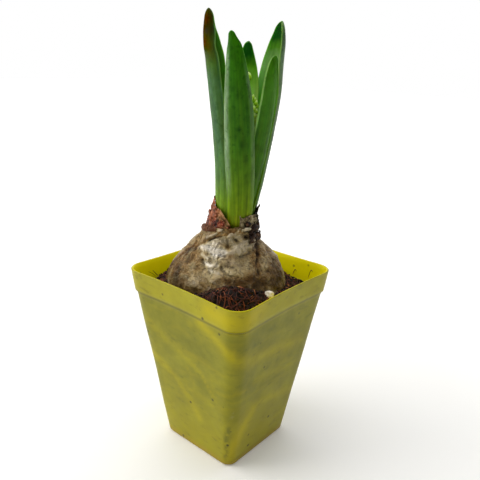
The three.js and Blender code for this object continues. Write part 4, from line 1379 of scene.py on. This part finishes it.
# Each leaf's colours up its outer face, up its inner face and of its bloom and painted sheen; how
# strong its marks and its painted glow are.
YOUNG_BASE = "#6a7e08"
LEAF_COLOURS = {
    "leaf_front": (
        [
            (0.02, "#848a0a"), (0.14, "#6a870a"), (0.28, "#52760e"), (0.42, "#38680c"), (0.55, "#2f620c"),
            (0.76, "#2c6204"), (1, "#2a5e00"),
        ],
        [(0, YOUNG_BASE), (1, "#3f8a10")],
        "#7c9270", 0.38, 0,
    ),
    "leaf_left": (
        [
            (0.04, "#74820e"), (0.16, "#66881e"), (0.32, "#4c702c"), (0.5, "#2e4c18"), (0.68, "#2d4f0d"),
            (0.77, "#375606"), (0.85, "#384606"), (0.93, "#2a2402"), (0.985, "#323e02"),
        ],
        # Inner colours: painted light where daylight comes through the blade.
        [(0, YOUNG_BASE), (0.58, "#94bc70"), (0.67, "#4c6c20"), (0.93, "#40601c"), (1, "#27500a")],
        "#456a49", 0.3, 0.05,
    ),
    "leaf_back": (
        [(0, YOUNG_BASE), (1, "#3f8a18")],
        # Inner colours: painted light where daylight comes through the blade, and painted shade under the
        # hood.
        [
            (0, "#8ab52a"), (0.45, "#b0d47c"), (0.6, "#a8cc70"), (0.7, "#8cb446"), (0.76, "#5a9018"),
            (0.82, "#0e4c03"), (1, "#0a3c02"),
        ],
        "#5f8452", 0.2, 0.16,
    ),
    "leaf_right_outer": (
        # The last, pale stop of the outer colours is a painted highlight on the hood.
        [(0, YOUNG_BASE), (0.2, "#42682a"), (0.6, "#385a2c"), (0.9, "#2f4e20"), (0.95, "#6e8e56")],
        # Inner colours: painted light where daylight comes through the blade, and painted shade under the
        # hood.
        [
            (0, YOUNG_BASE), (0.4, "#5c9424"), (0.64, "#5e9a2c"), (0.78, "#8cac6c"), (0.86, "#4c7c18"),
            (0.91, "#0a4003"), (1, "#083a02"),
        ],
        "#566e4c", 0.2, 0.18,
    ),
    "leaf_right_inner": (
        [
            (0.02, "#66860a"), (0.2, "#375f06"), (0.36, "#34600e"), (0.52, "#376816"), (0.66, "#40741a"),
            (0.78, "#386a0a"), (1, "#326402"),
        ],
        [(0, YOUNG_BASE), (1, "#3f8a10")],
        "#86b060", 0.2, 0,
    ),
}
for name, (base, cap, stations) in LEAVES.items():
    piece = leaf(name, base, cap, stations)
    dressed(piece, leaf_finish(name + "_wax", *LEAF_COLOURS[name]), "leaf", name)

# %% [markdown]
# ## The flower spike
#
# The buds stand close together round a thick green stalk, lowest ones largest. A bud is six petals
# still folded: a long drop with six shallow grooves. One bud is shaped from a sphere and copied.


# %% One bud, and copies of a shape in one mesh
def scattered(name, model, places):
    """One mesh of many placed copies of a model."""
    points = [vertex.co.copy() for vertex in model.data.vertices]
    faces = [tuple(polygon.vertices) for polygon in model.data.polygons]
    all_points, all_faces = [], []
    for matrix in places:
        base = len(all_points)
        all_points += [matrix @ point for point in points]
        all_faces += [tuple(base + i for i in face) for face in faces]
    mesh = bpy.data.meshes.new(name)
    mesh.from_pydata(all_points, [], all_faces)
    piece = bpy.data.objects.new(name, mesh)
    bpy.context.scene.collection.objects.link(piece)
    bpy.data.objects.remove(model)
    return piece


BUD_LENGTH = 6.5
BUD_RADIUS = 2.2425
bud = added(bpy.ops.mesh.primitive_uv_sphere_add, "bud", segments=18, ring_count=12, radius=1)
for vertex in bud.data.vertices:
    x, y, z = vertex.co
    up = (z + 1) / 2
    angle = math.atan2(y, x)
    swell = math.sin(math.pi * up**0.8) ** 0.75 * (1 - 0.25 * up)
    groove = 1 - 0.1 * abs(math.cos(3 * angle)) ** 6 * step(0.1, 0.4, up)
    vertex.co = Vector((
        BUD_RADIUS * swell * groove * math.cos(angle),
        BUD_RADIUS * swell * groove * math.sin(angle), BUD_LENGTH * up,
    )) * MM

SPIKE_FOOT = 154
SPIKE_TOP = 195.2
SPIKE_LEAN = 2.2
BUD_COUNT = 120
# How far out the buds stand, from the spike's foot (0) to its top (1).
BUD_SPREAD = [(0, 2.2), (0.35, 3.6), (0.58, 4.8), (0.7, 4.7), (0.77, 2.2), (0.86, 1.0), (1, 0)]
GOLDEN_ANGLE = math.pi * (3 - math.sqrt(5))
bud_places = []
for i in range(BUD_COUNT):
    share = i / (BUD_COUNT - 1)
    root = mix(SPIKE_FOOT, SPIKE_TOP - BUD_LENGTH, share)
    lean = math.radians(mix(17, 4, share**3))
    size = mix(1, 0.46, step(0.4, 0.54, share)) + 0.14 * step(0.93, 1, share)
    tilt = SPIKE_LEAN * step(0, 0.6, share) + 1.1 * step(0.93, 1, share)
    place = Matrix.Translation(Vector((tilt, 0, root)) * MM)
    place @= Matrix.Rotation(i * GOLDEN_ANGLE, 4, "Z")
    place @= Matrix.Translation(Vector((smooth(BUD_SPREAD, share)[0], 0, 0)) * MM)
    place @= Matrix.Rotation(lean, 4, "Y") @ Matrix.Scale(size, 4)
    bud_places.append(place)
tips = [vertex.co.z / (BUD_LENGTH * MM) for vertex in bud.data.vertices]
buds = scattered("buds", bud, bud_places)
marked(buds, "tip", tips * BUD_COUNT)

# %% The stalk
STALK_FOOT = 113.4
STALK_TOP = SPIKE_TOP - 4
STALK_RADIUS = 3.1
# Above this height, among the buds, the stalk is thinner and leans with the spike.
STALK_BEND = 150
STALK_THINNING = 0.4
stalk = added(
    bpy.ops.mesh.primitive_cylinder_add, "stalk", vertices=32, radius=STALK_RADIUS * MM,
    depth=(STALK_TOP - STALK_FOOT) * MM, location=(0, 0, (STALK_TOP + STALK_FOOT) / 2 * MM),
)
bpy.ops.object.transform_apply(location=True, rotation=True, scale=True)
bpy.ops.object.mode_set(mode="EDIT")
bpy.ops.mesh.select_all(action="SELECT")
bpy.ops.mesh.bisect(plane_co=(0, 0, STALK_BEND * MM), plane_no=(0, 0, 1))
bpy.ops.object.mode_set(mode="OBJECT")
for vertex in stalk.data.vertices:
    if vertex.co.z > (STALK_BEND + 10) * MM:
        vertex.co.x = vertex.co.x * STALK_THINNING + SPIKE_LEAN * MM
        vertex.co.y *= STALK_THINNING
spike = joined([buds, stalk], "flower_buds")
planted(spike)
smoothed(spike, sharp=50)

# %% Green bud
bud_material, node = new_material("green_bud")
place = node("TexCoord", out="Object")
cloud = node("TexNoise", grain(place, 230, 4))
height = node("SeparateXYZ", [place], out="Z")
tip = node("Attribute", out="Fac", attribute_name="tip")
tip = node("multiply_add", [cloud, 0.5, tip])
green = node(
    "ValToRGB", [tip], stops=[(0.3, "#3c6400"), (0.6, "#78a80a"), (0.9, "#b0da3e"), (1.0, "#cce886")],
)
# Painted shade: the lower buds, deep between the leaves, are painted darker.
painted_bud_shade = node("MapRange", span(height, 0.171, 0.177, 0.35))
green = node("scale", [green, painted_bud_shade])
# Painted glow: a weak emission of the bud colour stands for daylight that comes through the leaves.
surface(node, {
    "Base Color": green, "Roughness": 0.42, "Subsurface Weight": 0.3,
    "Subsurface Radius": (0.002, 0.003, 0.001), "Subsurface Scale": 1.0, "Emission Color": green,
    "Emission Strength": 0.2,
})
dressed(spike, bud_material, "bud", "flower_spike")

# %% [markdown]
# ## Soil
#
# Coir is ground coconut husk: a dark, damp crumb shot through with short red-brown fibres. The body
# of the soil is a grid that fills the pot's round-cornered square, raised round the bulb and roughened
# by noise. Its border is pulled down into the pot and closed. Crumbs and fibres lie on top.

# %% The soil's surface
SOIL_LEVEL = 85.4
RING_HEIGHT = 5
RING_WIDTH = 5
HEAP_HEIGHT = 7.6
HEAP_WIDTH = 9
HEAP_NARROWNESS = 6
HEAP_TURN = math.radians(8)
BULB_RADIUS = 30.7
BULB_MIDDLE = PLANT @ (Vector((-4.1, 0, 0)) * MM) / MM
SOIL_HALF = 34.3
SOIL_CORNER = 8.5
SOIL_GRID = 170


def soil_height(x, y):
    away = Vector((x - BULB_MIDDLE.x, y - BULB_MIDDLE.y, 0))
    outside = max(0, away.length - BULB_RADIUS)
    heap_side = Vector((math.sin(PLANT_TURN + HEAP_TURN), -math.cos(PLANT_TURN + HEAP_TURN), 0))
    facing = max(0, away.normalized().dot(heap_side)) if away.length else 0
    ring = RING_HEIGHT * math.exp(-((outside / RING_WIDTH) ** 2))
    heap = HEAP_HEIGHT * facing**HEAP_NARROWNESS * math.exp(-((outside / HEAP_WIDTH) ** 2))
    return SOIL_LEVEL + ring + heap


def rounded_reach(cosine, sine):
    """Distance from the middle to the round-cornered outline of the soil, along a direction."""
    long, short = max(abs(cosine), abs(sine)), min(abs(cosine), abs(sine))
    flat = SOIL_HALF - SOIL_CORNER
    if short / long * SOIL_HALF <= flat:
        return SOIL_HALF / long
    both = flat * (long + short)
    return both + math.sqrt(both**2 - 2 * flat**2 + SOIL_CORNER**2)


soil = added(
    bpy.ops.mesh.primitive_grid_add, "coir_soil", x_subdivisions=SOIL_GRID, y_subdivisions=SOIL_GRID,
    size=2,
)
for vertex in soil.data.vertices:
    u, v, _ = vertex.co
    length = math.hypot(u, v)
    if length:
        share = max(abs(u), abs(v))
        reach = share * rounded_reach(u / length, v / length)
        x, y = bowed(u / length * reach, v / length * reach, SOIL_LEVEL)
    else:
        x, y = 0, 0
    point = Vector((x, y, 0))
    rough = 1.1 * noise.noise(point / 5.2) + 0.8 * noise.noise(point / 2.1)
    rough += 0.5 * noise.noise(point / 0.95)
    vertex.co = Vector((x, y, soil_height(x, y) + rough)) * MM

# %% Pulling the border down
BORDER_STEPS = (60, 30, 4)
WALL_CLEARANCE = 3.2
take(soil)
bpy.context.tool_settings.mesh_select_mode = (False, True, False)
bpy.ops.object.mode_set(mode="EDIT")
bpy.ops.mesh.select_all(action="DESELECT")
bpy.ops.mesh.select_non_manifold()
bpy.ops.mesh.extrude_region_move(TRANSFORM_OT_translate={"value": (0, 0, -4 * MM)})
for height in BORDER_STEPS:
    ratio = (wall_side(height) - WALL_CLEARANCE) / (2 * SOIL_HALF)
    bpy.ops.mesh.extrude_region_move(TRANSFORM_OT_translate={"value": (0, 0, 0)})
    bpy.ops.object.mode_set(mode="OBJECT")
    for vertex in soil.data.vertices:
        if vertex.select:
            u, v = vertex.co.x / MM, vertex.co.y / MM
            length = math.hypot(u, v)
            reach = rounded_reach(u / length, v / length) * ratio
            vertex.co = Vector((u / length * reach, v / length * reach, height)) * MM
    bpy.ops.object.mode_set(mode="EDIT")
pulled((0, 0, -2.2), 0.94)
bpy.ops.mesh.edge_face_add()
turned_out()
bpy.context.tool_settings.mesh_select_mode = (True, False, False)
smoothed(soil)

# %% Crumbs
# Each crumb is twenty faces, because there are more than a thousand of them.
CRUMB_COUNT = 1300
BULB_CLEARANCE = 28.6
SOIL_REACH = 34
draw = random.Random(7)


def open_soil(margin):
    """A random place on the soil, clear of the bulb."""
    while True:
        x, y = draw.uniform(-SOIL_REACH, SOIL_REACH), draw.uniform(-SOIL_REACH, SOIL_REACH)
        length = math.hypot(x, y)
        if length > rounded_reach(x / length, y / length) - margin:
            continue
        if math.hypot(x - BULB_MIDDLE.x, y - BULB_MIDDLE.y) > BULB_CLEARANCE:
            return x, y


def random_turn():
    turn = Matrix.Identity(4)
    for axis in "XYZ":
        turn @= Matrix.Rotation(draw.uniform(0, 2 * math.pi), 4, axis)
    return turn


crumb = added(bpy.ops.mesh.primitive_ico_sphere_add, "crumb", subdivisions=1, radius=MM)
for vertex in crumb.data.vertices:
    vertex.co *= 1 + 0.5 * noise.noise(vertex.co / MM * 1.3)
crumb_places = []
for _ in range(CRUMB_COUNT):
    x, y = open_soil(0.4)
    size = draw.uniform(0.35, 0.95) ** 1.4
    stretch = Matrix.Diagonal((size * draw.uniform(0.7, 1.9), size, size * draw.uniform(0.5, 1), 1))
    lift = soil_height(x, y) + draw.uniform(-0.3, 0.9)
    crumb_places.append(Matrix.Translation(Vector((x, y, lift)) * MM) @ random_turn() @ stretch)
crumbs = scattered("coir_crumbs", crumb, crumb_places)


# %% Fibres
def strands(name, paths, thickness):
    """Round strands along paths of points in mm, made as one curve and turned to a mesh."""
    curve = bpy.data.curves.new(name, "CURVE")
    curve.dimensions = "3D"
    curve.bevel_depth = thickness / 2 * MM
    curve.bevel_resolution = 0
    curve.resolution_u = 2
    curve.use_fill_caps = True
    for path in paths:
        thick = draw.uniform(0.6, 1.7)
        spline = curve.splines.new("NURBS")
        spline.points.add(len(path) - 1)
        for i, point in enumerate(path):
            spline.points[i].co = (*(Vector(point) * MM), 1)
            spline.points[i].radius = thick * (1 if 0 < i < len(path) - 1 else 0.4)
        spline.use_endpoint_u = True
        spline.order_u = 3
    piece = bpy.data.objects.new(name, curve)
    bpy.context.scene.collection.objects.link(piece)
    take(piece)
    bpy.ops.object.convert(target="MESH")
    return bpy.context.object


FIBRE_COUNT = 340
FIBRE_THICKNESS = 0.3
fibre_paths = []
for _ in range(FIBRE_COUNT):
    x, y = open_soil(1.5)
    heading = draw.uniform(0, 2 * math.pi)
    arch = draw.uniform(0.1, 1.5)
    length = draw.uniform(3, 12)
    bend = draw.uniform(-0.5, 0.5)
    path = []
    for i in range(6):
        share = i / 5
        way = heading + bend * (share - 0.5) * 4
        px = x + (share - 0.5) * length * math.cos(way)
        py = y + (share - 0.5) * length * math.sin(way)
        reach = math.hypot(px, py)
        limit = rounded_reach(px / reach, py / reach) - 1.3
        if reach > limit:
            px, py = px * limit / reach, py * limit / reach
        lift = 0.5 + arch * math.sin(math.pi * share) + draw.uniform(-0.2, 0.2)
        path.append((px, py, soil_height(px, py) + lift))
    fibre_paths.append(path)
# Loose fibres that stand on the soil and cling to the inner walls, as the photograph shows.
WALL_FIBRES = [
    [
        (13.6, 35.3, 85), (13.9, 35.3, 87), (14.6, 35.2, 89.3), (15.3, 35.1, 90.7), (15.9, 35.1, 90.6),
        (16.2, 35.2, 89.7),
    ],
    [
        (24, 35.2, 87.8), (24.3, 35.1, 89.6), (24.9, 35, 91.4), (25.5, 35, 93.3), (26.2, 35, 93.3),
        (26.5, 35.1, 92.4),
    ],
    [(-35.3, -25, 91.6), (-35.2, -23.5, 90.6), (-35.1, -21.5, 89.2), (-35, -19.8, 87.4)],
    [(-35.1, -22, 91.4), (-35, -20, 89), (-34.9, -17.6, 86.6)],
]
fibres = strands("coir_fibres", fibre_paths + WALL_FIBRES, FIBRE_THICKNESS)

# %% Coir and its fibres
COIR_STOPS = [(0.36, "#080402"), (0.5, "#1c0b05"), (0.62, "#451b09"), (0.75, "#703816")]
soil_material, node, brown, bump = speckled("damp_coir", COIR_STOPS, 420, 5, 0.7, 0.8, 0.0012)
surface(node, {"Base Color": brown, "Roughness": 0.85, "Normal": bump})
dressed(soil, soil_material, "coir", "soil")
dressed(crumbs, soil_material, "coir")

fibre_material, node = new_material("coir_fibre")
along_fibre = node("TexNoise", grain(node("TexCoord", out="Object"), 240))
FIBRE_STOPS = [(0.36, "#1e0702"), (0.5, "#561c06"), (0.6, "#96481a"), (0.7, "#d49a54")]
brown = node("ValToRGB", [along_fibre], stops=FIBRE_STOPS)
surface(node, {"Base Color": brown, "Roughness": 0.6})
dressed(fibres, fibre_material, "coir")

# %% [markdown]
# ## Perlite
#
# One white grain of perlite, a puffed volcanic glass, lies on the soil beside the bulb.

# %% Perlite grain
GRAIN_PLACE = (30.05, -6.78)
GRAIN_RADIUS = 2.0
GRAIN_LIFT = 1.7
perlite_grain = added(
    bpy.ops.mesh.primitive_ico_sphere_add, "perlite", subdivisions=4, radius=GRAIN_RADIUS * MM,
)
for vertex in perlite_grain.data.vertices:
    point = vertex.co / MM
    lump = 1 + 0.32 * noise.noise(point / 1.5) + 0.14 * noise.noise(point / 0.6)
    vertex.co = Vector((point.x, point.y, point.z * 0.86)) * lump * MM
resting = Vector((*GRAIN_PLACE, soil_height(*GRAIN_PLACE) + GRAIN_LIFT)) * MM
perlite_grain.data.transform(Matrix.Translation(resting))
smoothed(perlite_grain)
PERLITE_STOPS = [(0.3, "#d9c6ac"), (0.6, "#fbf1e2")]
perlite, node, white, bump = speckled("perlite", PERLITE_STOPS, 900, 3, 0.5, 0.6, 0.0004)
surface(node, {"Base Color": white, "Roughness": 0.8, "Normal": bump})
dressed(perlite_grain, perlite, "perlite", "perlite_grain")
